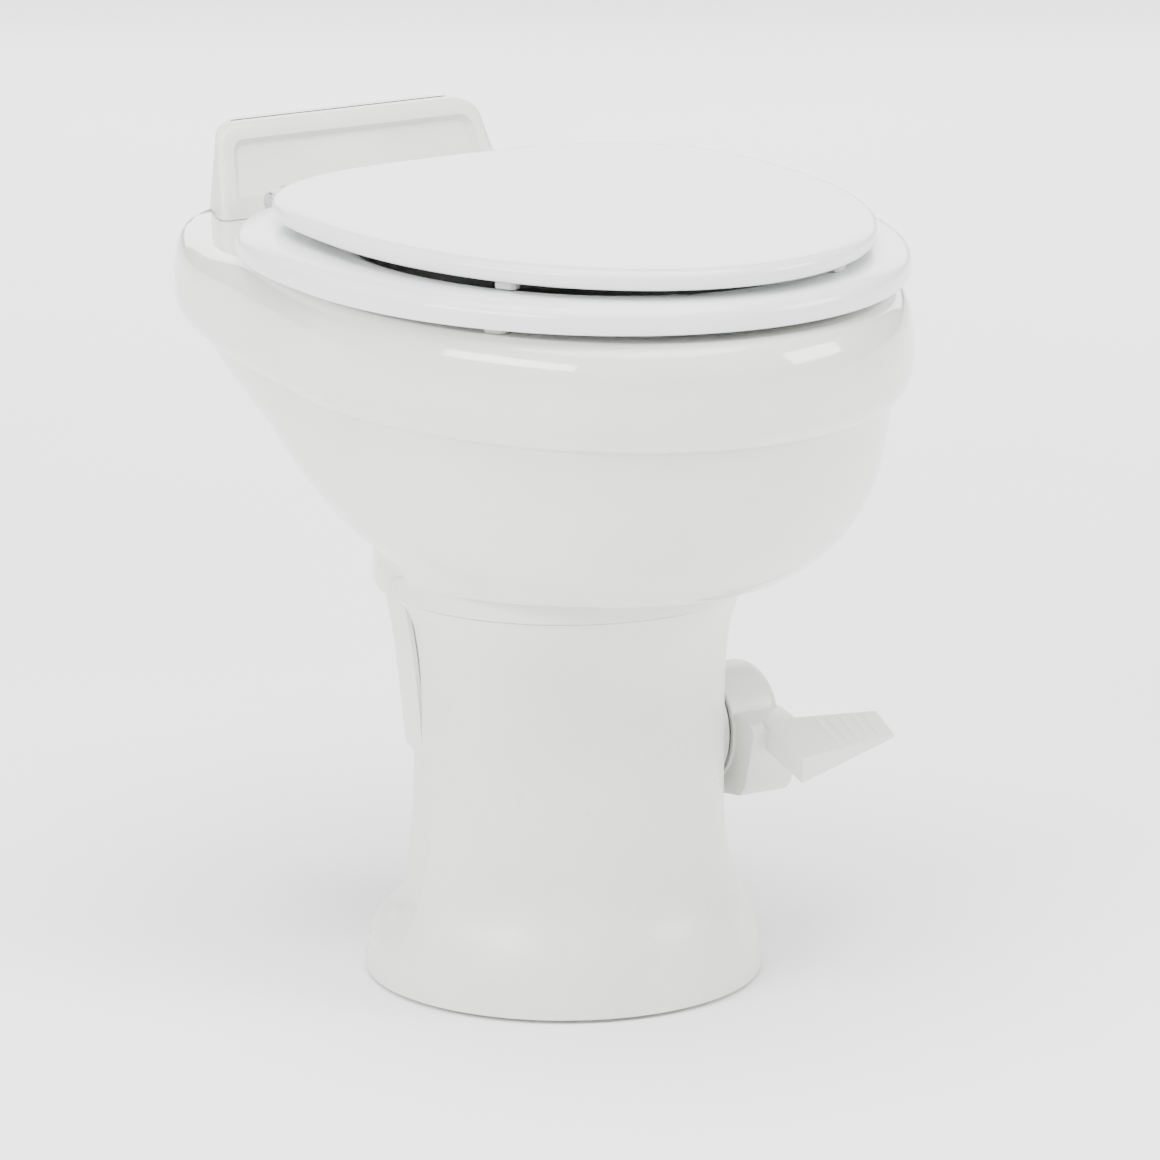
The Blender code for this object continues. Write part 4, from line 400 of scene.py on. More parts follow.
def turned(name, profile, axis, centre, steps, finish=None, closed=False):
    """Turn a profile of (radius, place) round an axis."""
    turn = {"X": Matrix.Rotation(math.radians(90), 4, "Y"),
            "Y": Matrix.Rotation(math.radians(-90), 4, "X"),
            "Z": Matrix.Identity(4)}[axis]
    loops = [ring_of_points(radius, place, even_angles(steps)) for radius, place in profile]
    shape = skin(loops, closed=closed, capped=not closed)
    shape.transform(Matrix.Translation(centre) @ turn)
    return put(name, shape, finish)


def rod(radius, low, high, axis, centre, steps=64):
    """Plain round bar, mostly used up as a drill."""
    return turned("rod", [(radius, low), (radius, high)], axis, centre, steps)


def arc(radius, centre, start, end, steps):
    """Points of an arc, from one angle to another in degrees."""
    turns = [math.radians(start + (end - start) * i / steps) for i in range(steps + 1)]
    return [(centre[0] + radius * math.cos(a), centre[1] + radius * math.sin(a)) for a in turns]


def both_sides(near, far):
    """Low and high x of the same stretch on the left and on the right."""
    return (-far, -near), (near, far)


def dress(piece, body, slot, *nodes):
    """Tie a new piece to its body and hide the solids that it stands for. The slot argument is not
    used.
    """
    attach(piece, body)
    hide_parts(*nodes)
    return piece


# Pedestal

PEDESTAL_TOP = 247.5 * MM
FOOT_RADIUS = 122.5 * MM
WALL = 4.5 * MM
SHROUD_BOTTOM = 147 * MM
SHADOW_GAP = 2.5 * MM
# Height share, then radius share
FRONT_COLUMN = curve_through((
    (0.0, 1.0), (0.045, 0.998), (0.09, 0.984), (0.135, 0.958), (0.18, 0.925), (0.225, 0.885),
    (0.29, 0.843), (0.38, 0.812), (0.56, 0.808), (0.72, 0.810), (0.83, 0.820), (0.90, 0.838),
    (0.95, 0.866), (1.0, 0.918)), 5)
REAR_COLUMN = curve_through((
    (0.0, 1.0), (0.045, 0.998), (0.09, 0.982), (0.135, 0.938), (0.18, 0.845), (0.225, 0.796),
    (0.29, 0.782), (0.38, 0.766), (0.56, 0.752), (1.0, 0.752)), 5)
SHROUD_TOP = 242.9 * MM
SHROUD_WALL = 3 * MM
# The column is let in this far behind the face of the shroud
SHROUD_SEAT = 3.9 * MM
# Height share of the shroud, then radius share of the foot
SHROUD = curve_through((
    (0.0, 0.796), (0.2, 0.812), (0.45, 0.832), (0.7, 0.856), (0.88, 0.880), (1.0, 0.896)), 4)


def shroud_radius(height):
    """Radius of the shroud's face at a height."""
    return FOOT_RADIUS * read_at(SHROUD, (height - SHROUD_BOTTOM) / (SHROUD_TOP - SHROUD_BOTTOM))


def column_loop(height, inset, angles):
    """Loop of the column. Low down, the front skirt folds into the rounder side lobe of the foot.
    Higher up, the back is let in for the shroud."""
    share = height / PEDESTAL_TOP
    front = FOOT_RADIUS * read_at(FRONT_COLUMN, share)
    # start and end are degrees behind the side, where the front's radius goes over to the rear's
    if height > SHROUD_BOTTOM:
        rear, start, end = shroud_radius(height) - SHROUD_SEAT, 1.9, 2.5
    else:
        rear, start, end = FOOT_RADIUS * read_at(REAR_COLUMN, share), -4.0, 5.0
    loop = []
    for angle in angles:
        behind = math.degrees(math.asin(math.sin(angle)))
        radius = front + (rear - front) * ease((behind - start) / (end - start)) - inset
        loop.append(Vector((radius * math.cos(angle), radius * math.sin(angle), height)))
    return loop


def make_pedestal():
    """Hollow column on its foot, with the drop tube, the plate that carries the bowl, the boss for
    the shaft, and the opening in its back."""
    # Close steps where the column is let in for the shroud keep that edge crisp. The even steps
    # are turned a little, so that none falls on them.
    close = [math.radians(turn) for turn in (1.9, 2.15, 2.3, 2.5, 177.5, 177.7, 177.85, 178.1)]
    turned_by = 0.003
    angles = sorted([a + turned_by for a in even_angles(COLUMN_STEPS)] + close)

    rim_low = PEDESTAL_TOP - 4 * MM
    levels = [share * PEDESTAL_TOP for share, _ in FRONT_COLUMN]
    levels = [level for level in levels if SHADOW_GAP < level < rim_low - GAP]
    levels += [SHADOW_GAP, SHROUD_BOTTOM, SHROUD_BOTTOM + GAP, rim_low - GAP]
    outside = [column_loop(level, 0, angles) for level in sorted(levels)]
    rim = FOOT_RADIUS * read_at(FRONT_COLUMN, rim_low / PEDESTAL_TOP)
    top = FOOT_RADIUS * FRONT_COLUMN[-1][1]
    rounded = [(rim, rim_low), ((rim + top) / 2, PEDESTAL_TOP - 2 * MM),
               (top, PEDESTAL_TOP - 0.5 * MM), (top - 0.5 * MM, PEDESTAL_TOP)]

    bore, tube_radius, tube_top = 38 * MM, 42.5 * MM, 95.5 * MM
    seal_radius, seal_depth = 57.3 * MM, 8.3 * MM
    rib = FOOT_RADIUS - 9 * MM
    under = [(bore, seal_depth), (seal_radius, seal_depth), (seal_radius, 0), (rib, 0),
             (rib, SHADOW_GAP)]
    plate_hole, plate_bottom, foot_plate = 61 * MM, PEDESTAL_TOP - 7 * MM, 11 * MM
    plate = [(plate_hole, PEDESTAL_TOP), (plate_hole, plate_bottom)]
    tube = [(tube_radius, foot_plate), (tube_radius, tube_top), (bore, tube_top)]
    inside = [PEDESTAL_TOP * share for share in (0.83, 0.56, 0.29, 0.225, 0.18, 0.135)]
    loops = [ring_of_points(r, z, angles) for r, z in under] + outside
    loops += [ring_of_points(r, z, angles) for r, z in rounded + plate]
    loops += [column_loop(z, WALL, angles) for z in [plate_bottom] + inside + [foot_plate]]
    loops += [ring_of_points(r, z, angles) for r, z in tube]
    pedestal = put("pedestal_column", skin(loops), PEDESTAL_PLASTIC)

    axis = (0, 0, SHAFT_HEIGHT)
    face = FOOT_RADIUS * read_at(FRONT_COLUMN, SHAFT_HEIGHT / PEDESTAL_TOP)
    boss_radius, shaft_hole = 35 * MM, 6.4 * MM
    boss = [(boss_radius, 80 * MM), (boss_radius, face - 0.2 * MM),
            (boss_radius - 0.2 * MM, face + 0.1 * MM)]
    boolean(pedestal, "UNION", turned("boss", boss, "X", axis, HUB_STEPS))
    boolean(pedestal, "DIFFERENCE", rod(shaft_hole, 60 * MM, face + MM, "X", axis))
    bolt_hole, bolt_x = 4.6 * MM, 76 * MM
    for x in (-bolt_x, bolt_x):
        boolean(pedestal, "DIFFERENCE", rod(bolt_hole, -MM, 14 * MM, "Z", (x, 0, 0)))
    pipe_hole = 7.2 * MM
    for z in (INLET_HEIGHT, OUTLET_HEIGHT):
        boolean(pedestal, "DIFFERENCE", rod(pipe_hole, 50 * MM, 125 * MM, "Y", (WATER_X, 0, z)))
    half, sill, head = 42 * MM, 26 * MM, 118 * MM
    window = box("window", (-half, 60 * MM, sill), (half, 130 * MM, head))
    round_window(window)
    boolean(pedestal, "DIFFERENCE", window)
    soften(pedestal, 38.0)
    return dress(pedestal, "base", "moulded", "pedestal")


def round_window(window):
    """Round the window's four corners, as a moulding tool leaves them."""
    shape = bmesh.new()
    shape.from_mesh(window.data)
    along = [e for e in shape.edges
             if abs((e.verts[0].co - e.verts[1].co).normalized().y) > 0.9]
    bmesh.ops.bevel(shape, geom=along, offset=5 * MM, segments=6, profile=0.5, affect="EDGES")
    shape.to_mesh(window.data)
    shape.free()


def make_shroud():
    """Shell clipped round the back of the column, notched round the shaft's boss."""
    start, sweep, steps = 2.6, 174.8, 90
    angles = [math.radians(start + sweep * i / steps) for i in range(steps + 1)]
    heights = [SHROUD_BOTTOM + (SHROUD_TOP - SHROUD_BOTTOM) * place for place, _ in SHROUD]
    foot = shroud_radius(SHROUD_BOTTOM)
    # The lower edge of the outside is rounded over
    outer = [ring_of_points(foot - inset, SHROUD_BOTTOM + up, angles)
             for inset, up in ((0.8 * MM, 0), (0.2 * MM, 0.3 * MM), (0, 1.0 * MM))]
    outer += [ring_of_points(shroud_radius(z), z, angles) for z in heights[1:]]
    inner = [ring_of_points(shroud_radius(z) - SHROUD_WALL, z, angles) for z in heights]
    shape = bmesh.new()
    made = [[shape.verts.new(p) for p in row] for row in outer + inner[::-1]]
    for a, b in zip(made, made[1:] + made[:1]):
        for i in range(steps):
            shape.faces.new((a[i], a[i + 1], b[i + 1], b[i]))
    for end in (0, steps):
        shape.faces.new([row[end] for row in made])
    shroud = put("pedestal_shroud", shape, PEDESTAL_PLASTIC)
    notch = 36.5 * MM
    boolean(shroud, "DIFFERENCE",
            rod(notch, 80 * MM, 139.5 * MM, "X", (0, 0, SHAFT_HEIGHT), HUB_STEPS))
    soften(shroud, 35.0)
    return dress(shroud, "base", "moulded", "rear_shroud")


# Bowl

SEAT_FACE = 248.5 * MM
COLLAR_TOP = 262 * MM
COLLAR_RADIUS = 117.2 * MM
SPIGOT_BOTTOM = 184.5 * MM
SPIGOT_RADIUS = 45 * MM
OUTLET_RADIUS = 30 * MM
RIM_TOP = 445 * MM
BOWL_HALF_WIDTH = 188 * MM
BOWL_FRONT = 251 * MM
DECK_REACH = 298 * MM
BOWL_MIDDLE = -18 * MM
LIP_BOTTOM = 399 * MM
LIP_CEILING = 436 * MM
DECK_UNDERSIDE = 427 * MM
# Half width, front reach and rear reach of the bowl's mouth
MOUTH = (151 * MM, 214 * MM, 134 * MM)
WELL_BOTTOM = 262 * MM
# Pockets in the underside of the deck
POCKET_BOTTOM = 399 * MM
POCKET_FRONT = DECK_REACH * 0.638
POCKET_REAR = DECK_REACH - 16 * MM
# Height share, then half width, front and rear reach shares and corner power
BODY = curve_through((
    (0.018, 0.636, 0.560, 0.403, 2.00), (0.050, 0.655, 0.680, 0.440, 2.00),
    (0.110, 0.712, 0.766, 0.490, 2.00), (0.165, 0.777, 0.812, 0.562, 2.00),
    (0.220, 0.828, 0.844, 0.630, 2.00), (0.335, 0.892, 0.890, 0.750, 2.10),
    (0.445, 0.916, 0.918, 0.850, 2.40), (0.560, 0.930, 0.934, 0.938, 3.00),
    (0.645, 0.940, 0.942, 0.960, 3.40)), 4)
BAND = curve_through((
    (0.656, 0.963, 0.965, 0.974, 3.60), (0.690, 0.985, 0.986, 0.987, 3.90),
    (0.735, 0.998, 0.998, 0.997, 4.00), (0.820, 1.000, 1.000, 1.000, 4.00),
    (0.900, 0.993, 0.994, 0.998, 4.00), (0.950, 0.978, 0.982, 0.994, 4.00),
    (0.984, 0.955, 0.965, 0.988, 4.00), (1.000, 0.925, 0.940, 0.978, 4.00)), 4)
# Depth share, then shares of the mouth's half width, front and rear reach
WELL = curve_through((
    (0.00, 1.120, 1.072, 1.130), (0.16, 1.085, 1.045, 1.080), (0.34, 1.040, 1.000, 1.010),
    (0.52, 0.950, 0.915, 0.870), (0.68, 0.760, 0.745, 0.680), (0.82, 0.500, 0.480, 0.450),
    (0.93, 0.300, 0.240, 0.290)), 4)
# Height share of the hollow under the deck, then the place of its front wall as a reach share
HOLLOW = ((0.0, 0.370), (0.2, 0.456), (0.47, 0.517), (0.74, 0.545), (0.93, 0.577), (1.0, 0.638))


def settle(point):
    """Ease the back of the rim down to the level of the deck."""
    behind = ease((point.y - 100 * MM) / (80 * MM))
    up = min(max((point.z - LIP_BOTTOM) / (RIM_TOP - LIP_BOTTOM), 0), 1)
    return Vector((point.x, point.y, point.z - 6 * MM * behind * up))


def past_collar(point):
    """Push a point of the tapering back out to the collar, so that no ledge is left on it."""
    reach = point.xy.length
    if point.y < 0 or reach > COLLAR_RADIUS:
        return point
    return Vector((point.x * COLLAR_RADIUS / reach, point.y * COLLAR_RADIUS / reach, point.z))


def make_bowl():
    """China bowl: body, rim band, deck, flushing lip, well and spigot."""
    angles = even_angles(BOWL_STEPS)

    def circle(radius, height):
        return ring_of_points(radius, height, angles)

    def mouth(height, offset):
        return outline(height, angles, *(size + offset for size in MOUTH), BOWL_MIDDLE)

    loops = [circle(SPIGOT_RADIUS, SPIGOT_BOTTOM), circle(SPIGOT_RADIUS, SEAT_FACE),
             circle(COLLAR_RADIUS - 1.5 * MM, SEAT_FACE),
             circle(COLLAR_RADIUS - 0.4 * MM, SEAT_FACE + 0.4 * MM),
             circle(COLLAR_RADIUS, SEAT_FACE + 1.5 * MM), circle(COLLAR_RADIUS, COLLAR_TOP - MM)]
    taper = 0.18
    for share, width, front, rear, power in BODY + BAND:
        loop = outline(COLLAR_TOP + share * (RIM_TOP - COLLAR_TOP), angles, BOWL_HALF_WIDTH * width,
                       BOWL_FRONT * front, DECK_REACH * rear, BOWL_MIDDLE, power, taper)
        loops.append([past_collar(p) for p in loop])
    rounding = 4 * MM
    outer, inner = loops[-1], mouth(RIM_TOP, rounding)
    for mix in (0.1, 0.25, 0.5, 0.75, 0.9):
        loops.append([a.lerp(b, mix) for a, b in zip(outer, inner)])
    for turn in range(0, 91, 15):
        a = math.radians(turn)
        loops.append(mouth(RIM_TOP - rounding * (1 - math.cos(a)), rounding * (1 - math.sin(a))))
    lip, channel = 9 * MM, 22 * MM
    loops += [mouth(LIP_BOTTOM + MM, 0), mouth(LIP_BOTTOM, MM), mouth(LIP_BOTTOM, lip - MM),
              mouth(LIP_BOTTOM + MM, lip), mouth(LIP_CEILING, lip), mouth(LIP_CEILING, channel)]
    half_width, mouth_front, mouth_rear = MOUTH
    for share, width, front, rear in WELL:
        loops.append(outline(LIP_BOTTOM + (WELL_BOTTOM - LIP_BOTTOM) * share, angles,
                             half_width * width, mouth_front * front, mouth_rear * rear,
                             BOWL_MIDDLE))
    loops += [circle(OUTLET_RADIUS + MM, WELL_BOTTOM + 0.4 * MM),
              circle(OUTLET_RADIUS, WELL_BOTTOM - 2 * MM), circle(OUTLET_RADIUS, SPIGOT_BOTTOM)]
    loops = [[settle(p) for p in loop] for loop in loops]
    bowl = put("china_bowl", skin(loops), CHINA)
    hollow_out(bowl)
    drill(bowl)
    soften(bowl, 40.0)
    return dress(bowl, "base", "china", "bowl")


def hollow_out(bowl):
    """Take out the hollow that the caster leaves open under the deck, with its middle pocket."""
    bottom, back = 288 * MM, 345 * MM
    right = 60 * MM
    loops = []
    for share, y in curve_through(HOLLOW, 4):
        z = bottom + (POCKET_BOTTOM - bottom) * share
        far = z - 0.6 * (back - DECK_REACH * 0.37) * (1 - share)
        # Its left side draws in low down, where the body is slim
        left = -right + 50 * MM * ease((350 * MM - z) / (62 * MM))
        near = DECK_REACH * y
        loops.append([Vector(p) for p in ((left, near, z), (right, near, z), (right, back, far),
                                          (left, back, far))])
    boolean(bowl, "DIFFERENCE", put("hollow", skin(loops, closed=False, capped=True)))
    boolean(bowl, "DIFFERENCE", box("middle_pocket", (-right, POCKET_FRONT, POCKET_BOTTOM - MM),
                                    (right, POCKET_REAR, DECK_UNDERSIDE)))


def drill(bowl):
    """Side pockets under the deck, and the holes for hinge bolts, breaker, studs and rim inlet."""
    for sign, (near, far) in zip((-1, 1), both_sides(56 * MM, 88 * MM)):
        boolean(bowl, "DIFFERENCE", box("pocket", (near, POCKET_FRONT + GAP, POCKET_BOTTOM + GAP),
                                        (far, POCKET_REAR - GAP, DECK_UNDERSIDE - GAP)))
        for radius, low, high, x, y in (
                (4.6 * MM, 420 * MM, 445 * MM, HINGE_BOLT_X, HINGE_Y),
                (5.3 * MM, 420 * MM, 445 * MM, BREAKER_LEG_X, BREAKER_LEG_Y),
                (8.1 * MM, 240 * MM, 258.5 * MM, 72 * MM, 0)):
            boolean(bowl, "DIFFERENCE", rod(radius, low, high, "Z", (sign * x, y, 0)))
    inlet = (-BREAKER_LEG_X, 0, 409 * MM)
    boolean(bowl, "DIFFERENCE", rod(7.5 * MM, 150 * MM, 194 * MM, "Y", inlet))


# Seat and lid

SEAT_BOTTOM = 450.4 * MM
SEAT_TOP = 468.4 * MM
LID_BOTTOM = 473.8 * MM
LID_TOP = 486.8 * MM
# Half width, front reach and rear reach
SEAT_OUTSIDE = (190.5 * MM, 240 * MM, 180 * MM)
SEAT_OPENING = (134.5 * MM, 184 * MM, 104 * MM)
LID_OUTSIDE = (166.5 * MM, 230.5 * MM, 148 * MM)
LID_MIDDLE = -7.5 * MM
EYE_RADIUS = 8 * MM


def make_arms(target, side, near, far):
    """Add the same arm on the left and on the right, with its edges rounded."""
    arms = []
    for low, high in both_sides(near, far):
        arm = prism("arm", side, low, high)
        round_edges(arm, 1.2 * MM)
        arms.append(arm)
    join(target, *arms)
    soften(target, 40.0)


def make_seat():
    """Seat ring, rounder on its inner side, with two arms to the hinge."""
    angles = even_angles(BOWL_STEPS)
    outer = outline(0, angles, *SEAT_OUTSIDE, BOWL_MIDDLE, 2.7)
    inner = outline(0, angles, *SEAT_OPENING, BOWL_MIDDLE)
    # Inward share of the ring's width, then height share
    section = (
        (0.06, 0.0), (0.022, 0.04), (0.004, 0.14), (0.0, 0.30), (0.002, 0.50), (0.016, 0.66),
        (0.045, 0.79), (0.09, 0.885), (0.15, 0.95), (0.23, 0.985), (0.33, 1.0), (0.44, 0.995),
        (0.55, 0.97), (0.66, 0.92), (0.77, 0.84), (0.87, 0.72), (0.95, 0.58), (0.99, 0.42),
        (1.0, 0.28), (0.99, 0.12), (0.93, 0.0), (0.80, 0.03), (0.5, 0.05), (0.2, 0.03))
    loops = []
    for inward, up in section:
        lift = Vector((0, 0, SEAT_BOTTOM + up * (SEAT_TOP - SEAT_BOTTOM)))
        loops.append([a.lerp(b, inward) + lift for a, b in zip(outer, inner)])
    seat = put("seat_ring_moulding", skin(loops), SEAT_PLASTIC)
    root = 156 * MM
    side = [(root, HINGE_Z - 5 * MM), (HINGE_Y, HINGE_Z - EYE_RADIUS)]
    side += arc(EYE_RADIUS, (HINGE_Y, HINGE_Z), -75, 90, 20) + [(root, HINGE_Z + 5 * MM)]
    make_arms(seat, side, 78.6 * MM, 87.6 * MM)
    return dress(seat, "seat_unit", "seat_plastic", "seat_ring")


def make_lid():
    """Lid with a soft edge, a barely crowned top and a rim underneath that stiffens it."""
    angles = even_angles(BOWL_STEPS)

    def level(height, inset):
        return outline(height, angles, *(size - inset for size in LID_OUTSIDE), LID_MIDDLE, 3.0)

    recess = LID_BOTTOM + 5 * MM
    # Inset from the outside, then height: the underside from its middle out
    loops = [level(height, inset * MM) for inset, height in (
        (80, recess), (40, recess), (24, recess), (22.3, recess - 0.6 * MM),
        (22, LID_BOTTOM + 0.8 * MM), (21.2, LID_BOTTOM), (5.2, LID_BOTTOM))]
    # Height share, then inset as a share of the edge's reach
    edge_reach = 4.8 * MM
    loops += [level(LID_BOTTOM + up * (LID_TOP - LID_BOTTOM), inset * edge_reach)
              for up, inset in (
                  (0.03, 0.80), (0.09, 0.45), (0.18, 0.18), (0.30, 0.03), (0.42, 0.0), (0.55, 0.0),
                  (0.66, 0.04), (0.77, 0.16), (0.86, 0.38), (0.93, 0.68), (0.97, 1.0),
                  (0.99, 1.35))]
    crown = 0.25 * MM
    loops += [level(LID_TOP + crown * rise, inset * MM) for rise, inset in (
        (0.0, 8.5), (0.3, 14), (0.6, 30), (0.8, 50), (0.95, 80))]
    lid = put("lid_moulding", skin(loops, closed=False, capped=True), SEAT_PLASTIC)
    root, bottom, top = 136 * MM, LID_BOTTOM + GAP, LID_TOP - 2.4 * MM
    side = arc(EYE_RADIUS, (HINGE_Y, HINGE_Z), -170, 80, 28)
    side += [(180 * MM, SEAT_TOP + 8 * MM), (root, top), (root, bottom),
             (172 * MM, SEAT_TOP + 1.8 * MM), (191 * MM, SEAT_TOP)]
    make_arms(lid, side, 52.4 * MM, 61.4 * MM)
    return dress(lid, "lid_unit", "seat_plastic", "lid")


# Rear cover

COVER_BOTTOM = 439.3 * MM
COVER_TOP = 495 * MM
COVER_REAR = 286 * MM
COVER_WALL = 4 * MM


def cover_lean(height):
    """Half width and front of the cover at a height."""
    up = (height - COVER_BOTTOM) / (56 * MM)
    return (107 - 9.5 * up) * MM, (237 + 24 * up) * MM


def cover_loop(height, side, end, wall):
    """Level loop with rounded corners, drawn in at its sides, at its ends and by a wall."""
    width, front = cover_lean(height)
    radius = 9 * MM - wall
    near, far, width = front + end + wall, COVER_REAR - end - wall, width - side - wall
    corners = ((1, far - radius, 0), (-1, far - radius, 90), (-1, near + radius, 180),
               (1, near + radius, 270))
    taper = 0.17
    loop = []
    for sign, y, start in corners:
        for px, py in arc(radius, (sign * (width - radius), y), start, start + 90, 12):
            behind = (py - front) / (COVER_REAR - front)
            loop.append(Vector((px * (1 - taper * behind), py, height)))
    return loop


def make_cover():
    """Cover over the vacuum breaker: wide at its foot, leaning back, well rounded at the top, with
    an inset front panel."""
    rise, side, end = 10 * MM, 12 * MM, 5 * MM
    loops = []
    for turn in range(90, -1, -9):
        a = math.radians(turn)
        loops.append(cover_loop(COVER_TOP - rise * (1 - math.sin(a)), side * (1 - math.cos(a)),
                                end * (1 - math.cos(a)), 0))
    roof = COVER_TOP - 2.5 * MM
    loops += [cover_loop(COVER_BOTTOM + 0.6 * MM, 0, 0, 0),
              cover_loop(COVER_BOTTOM, 0.5 * MM, 0.5 * MM, 0),
              cover_loop(COVER_BOTTOM, 0, 0, COVER_WALL),
              cover_loop(roof - rise, 0, 0, COVER_WALL),
              cover_loop(roof, side, end / 2, COVER_WALL)]
    cover = put("deck_cover", skin(loops, closed=False, capped=True), PEDESTAL_PLASTIC)

    low, high = COVER_BOTTOM + 9 * MM, COVER_TOP - 9 * MM
    margin, corner = 13 * MM, 7 * MM
    right = [(cover_lean(low)[0] - margin, low)]
    # The panel's two upper corners are rounded
    for px, pz in arc(corner, (-margin - corner, high - corner), 0, 90, 8):
        right.append((cover_lean(pz)[0] + px, pz))
    panel = right + [(-x, z) for x, z in reversed(right)]
    loops = []
    for depth, inset in ((-4 * MM, -MM), (0, 0), (1.9 * MM, 3.0 * MM), (2.1 * MM, 3.6 * MM)):
        loops.append([Vector((x - math.copysign(inset, x), cover_lean(z)[1] + depth,
                              z + (inset if z == low else -inset))) for x, z in panel])
    boolean(cover, "DIFFERENCE", put("panel", skin(loops, closed=False, capped=True)))
    soften(cover, 35.0)
    return dress(cover, "base", "moulded", "rear_cover")


# Pedal

HUB_RADIUS = 36 * MM
PEDAL_INNER = 101.5 * MM
PEDAL_OUTER = 139.5 * MM
TREAD_REACH = 94 * MM
TREAD_START, TREAD_END = 114.5, 186
TREAD_WALL = 2.8 * MM


def tread_section(share):
    """Corners (y, z) of the tread part of the way along it."""
    root = ((-0.52, 0.12), (-1.0, -0.03), (-1.0, -0.196), (-0.52, -0.065))
    end = ((-0.717, 0.12), (-0.935, 0.011), (-0.935, -0.011), (-0.717, 0.076))
    return [Vector(((a[0] + (b[0] - a[0]) * share) * TREAD_REACH,
                    SHAFT_HEIGHT + (a[1] + (b[1] - a[1]) * share) * TREAD_REACH))
            for a, b in zip(root, end)]


def tread_x(share):
    """Place across, part of the way along the tread."""
    return (TREAD_START + (TREAD_END - TREAD_START) * share) * MM


def make_hub(axis):
    """Cup with a stem for the shaft and a rounded rim."""
    floor, rounding = PEDAL_OUTER - 8 * MM, 10 * MM
    bore, stem, cup = 6.3 * MM, 11 * MM, 32 * MM
    screw, head = 3.8 * MM, 8.1 * MM
    head_seat = PEDAL_OUTER - 3.3 * MM
    stem_start = PEDAL_INNER + 2 * MM
    profile = [(bore, stem_start), (stem, stem_start), (stem, floor), (28 * MM, floor),
               (cup, floor - 2 * MM), (cup, PEDAL_INNER + 0.5 * MM), (32.5 * MM, PEDAL_INNER),
               (HUB_RADIUS - 0.6 * MM, PEDAL_INNER), (HUB_RADIUS, PEDAL_INNER + 0.6 * MM)]
    profile += [(HUB_RADIUS - rounding + y, PEDAL_OUTER - rounding + x)
                for y, x in arc(rounding, (0, 0), 0, 90, 16)]
    profile += [(head + 0.6 * MM, PEDAL_OUTER), (head, PEDAL_OUTER - 0.6 * MM), (head, head_seat),
                (screw, head_seat), (screw, floor), (bore, floor)]
    return turned("pedal_moulding", profile, "X", axis, HUB_STEPS, PEDESTAL_PLASTIC, closed=True)


def make_tread_arm(axis):
    """Solid arm from the hub to the root of the tread."""
    shares = ((-0.28, 0.39), (-1.0, 0.36), (-1.42, 0.27), (-1.56, 0.14), (-1.27, -0.90),
              (-1.10, -1.06), (-0.28, -1.17))
    side = [(y * HUB_RADIUS, SHAFT_HEIGHT + z * HUB_RADIUS) for y, z in shares]
    near, far = PEDAL_INNER + 2 * MM, PEDAL_OUTER - 2 * MM
    arm = prism("arm", side, near, far)
    past = 10 * MM
    boolean(arm, "DIFFERENCE",
            rod(HUB_RADIUS - 2 * MM, near - past, far + past, "X", axis, HUB_STEPS))
    round_edges(arm, 3.5 * MM)
    return arm


def make_tread():
    """Tapering tread with three pockets below, which leave ribs between them."""
    steps = 12
    rows = []
    for i in range(steps + 1):
        share = i / steps
        rows.append([Vector((tread_x(share), p.x, p.y)) for p in tread_section(share)])
    tread = put("tread", skin(rows, closed=False, capped=True))
    pockets, first = 3, 0.34
    pitch = 0.48 / pockets
    rib = TREAD_WALL / ((TREAD_END - TREAD_START) * MM)
    for number in range(pockets):
        loops = []
        for share in (first + pitch * number + rib, first + pitch * (number + 1)):
            a, b, c, d = tread_section(share)
            corners = [a + Vector((-TREAD_WALL, -TREAD_WALL)),
                       b + Vector((TREAD_WALL, -TREAD_WALL)),
                       c + Vector((TREAD_WALL, -4 * MM)), d + Vector((-TREAD_WALL, -4 * MM))]
            loops.append([Vector((tread_x(share), p.x, p.y)) for p in corners])
        boolean(tread, "DIFFERENCE", put("pocket", skin(loops, closed=False, capped=True)))
    round_edges(tread, 1.1 * MM)
    return tread


def make_grip_bars():
    """Five low bars across the top of the tread."""
    count, first, pitch, width = 5, 0.42, 0.108, 0.054
    down, up = Vector((0, 0, -0.8 * MM)), Vector((0, 0, 0.55 * MM))
    bars = []
    for number in range(count):
        low = first + pitch * number
        corners = []
        for share, ends in ((low, (0.10, 0.90)), (low + width, (0.90, 0.10))):
            a, b = tread_section(share)[:2]
            for end in ends:
                across = a.lerp(b, end)
                corners.append(Vector((tread_x(share), across.x, across.y)))
        loops = [[p + down for p in corners], [p + up for p in corners]]
        bar = put("bar", skin(loops, closed=False, capped=True))
        round_edges(bar, 0.4 * MM, 2)
        bars.append(bar)
    return bars


def make_pedal():
    """Foot pedal: cup shaped hub, solid arm, and a tread with ribs below and grip bars on top."""
    axis = (0, 0, SHAFT_HEIGHT)
    pedal = make_hub(axis)
    join(pedal, make_tread_arm(axis), make_tread(), *make_grip_bars())
    soften(pedal, 40.0)
    return dress(pedal, "pedal_unit", "moulded", "pedal")


# Hose

def curve_points(points, steps):
    """Smooth path through points that are unevenly spaced."""
    points = [Vector(p) for p in points]
    spans = [b - a for a, b in zip(points, points[1:])]
    headings = [spans[0].normalized()]
    for before, after in zip(spans, spans[1:]):
        near, far = before.length, after.length
        headings.append((before * far / near + after * near / far) / (near + far))
    headings.append(spans[-1].normalized())
    path = []
    for i, span in enumerate(spans):
        for k in range(steps):
            start, end, start_slope, end_slope = cubic_weights(k / steps)
            path.append(points[i] * start + points[i + 1] * end
                        + headings[i] * span.length * start_slope
                        + headings[i + 1] * span.length * end_slope)
    return path + [points[-1]]


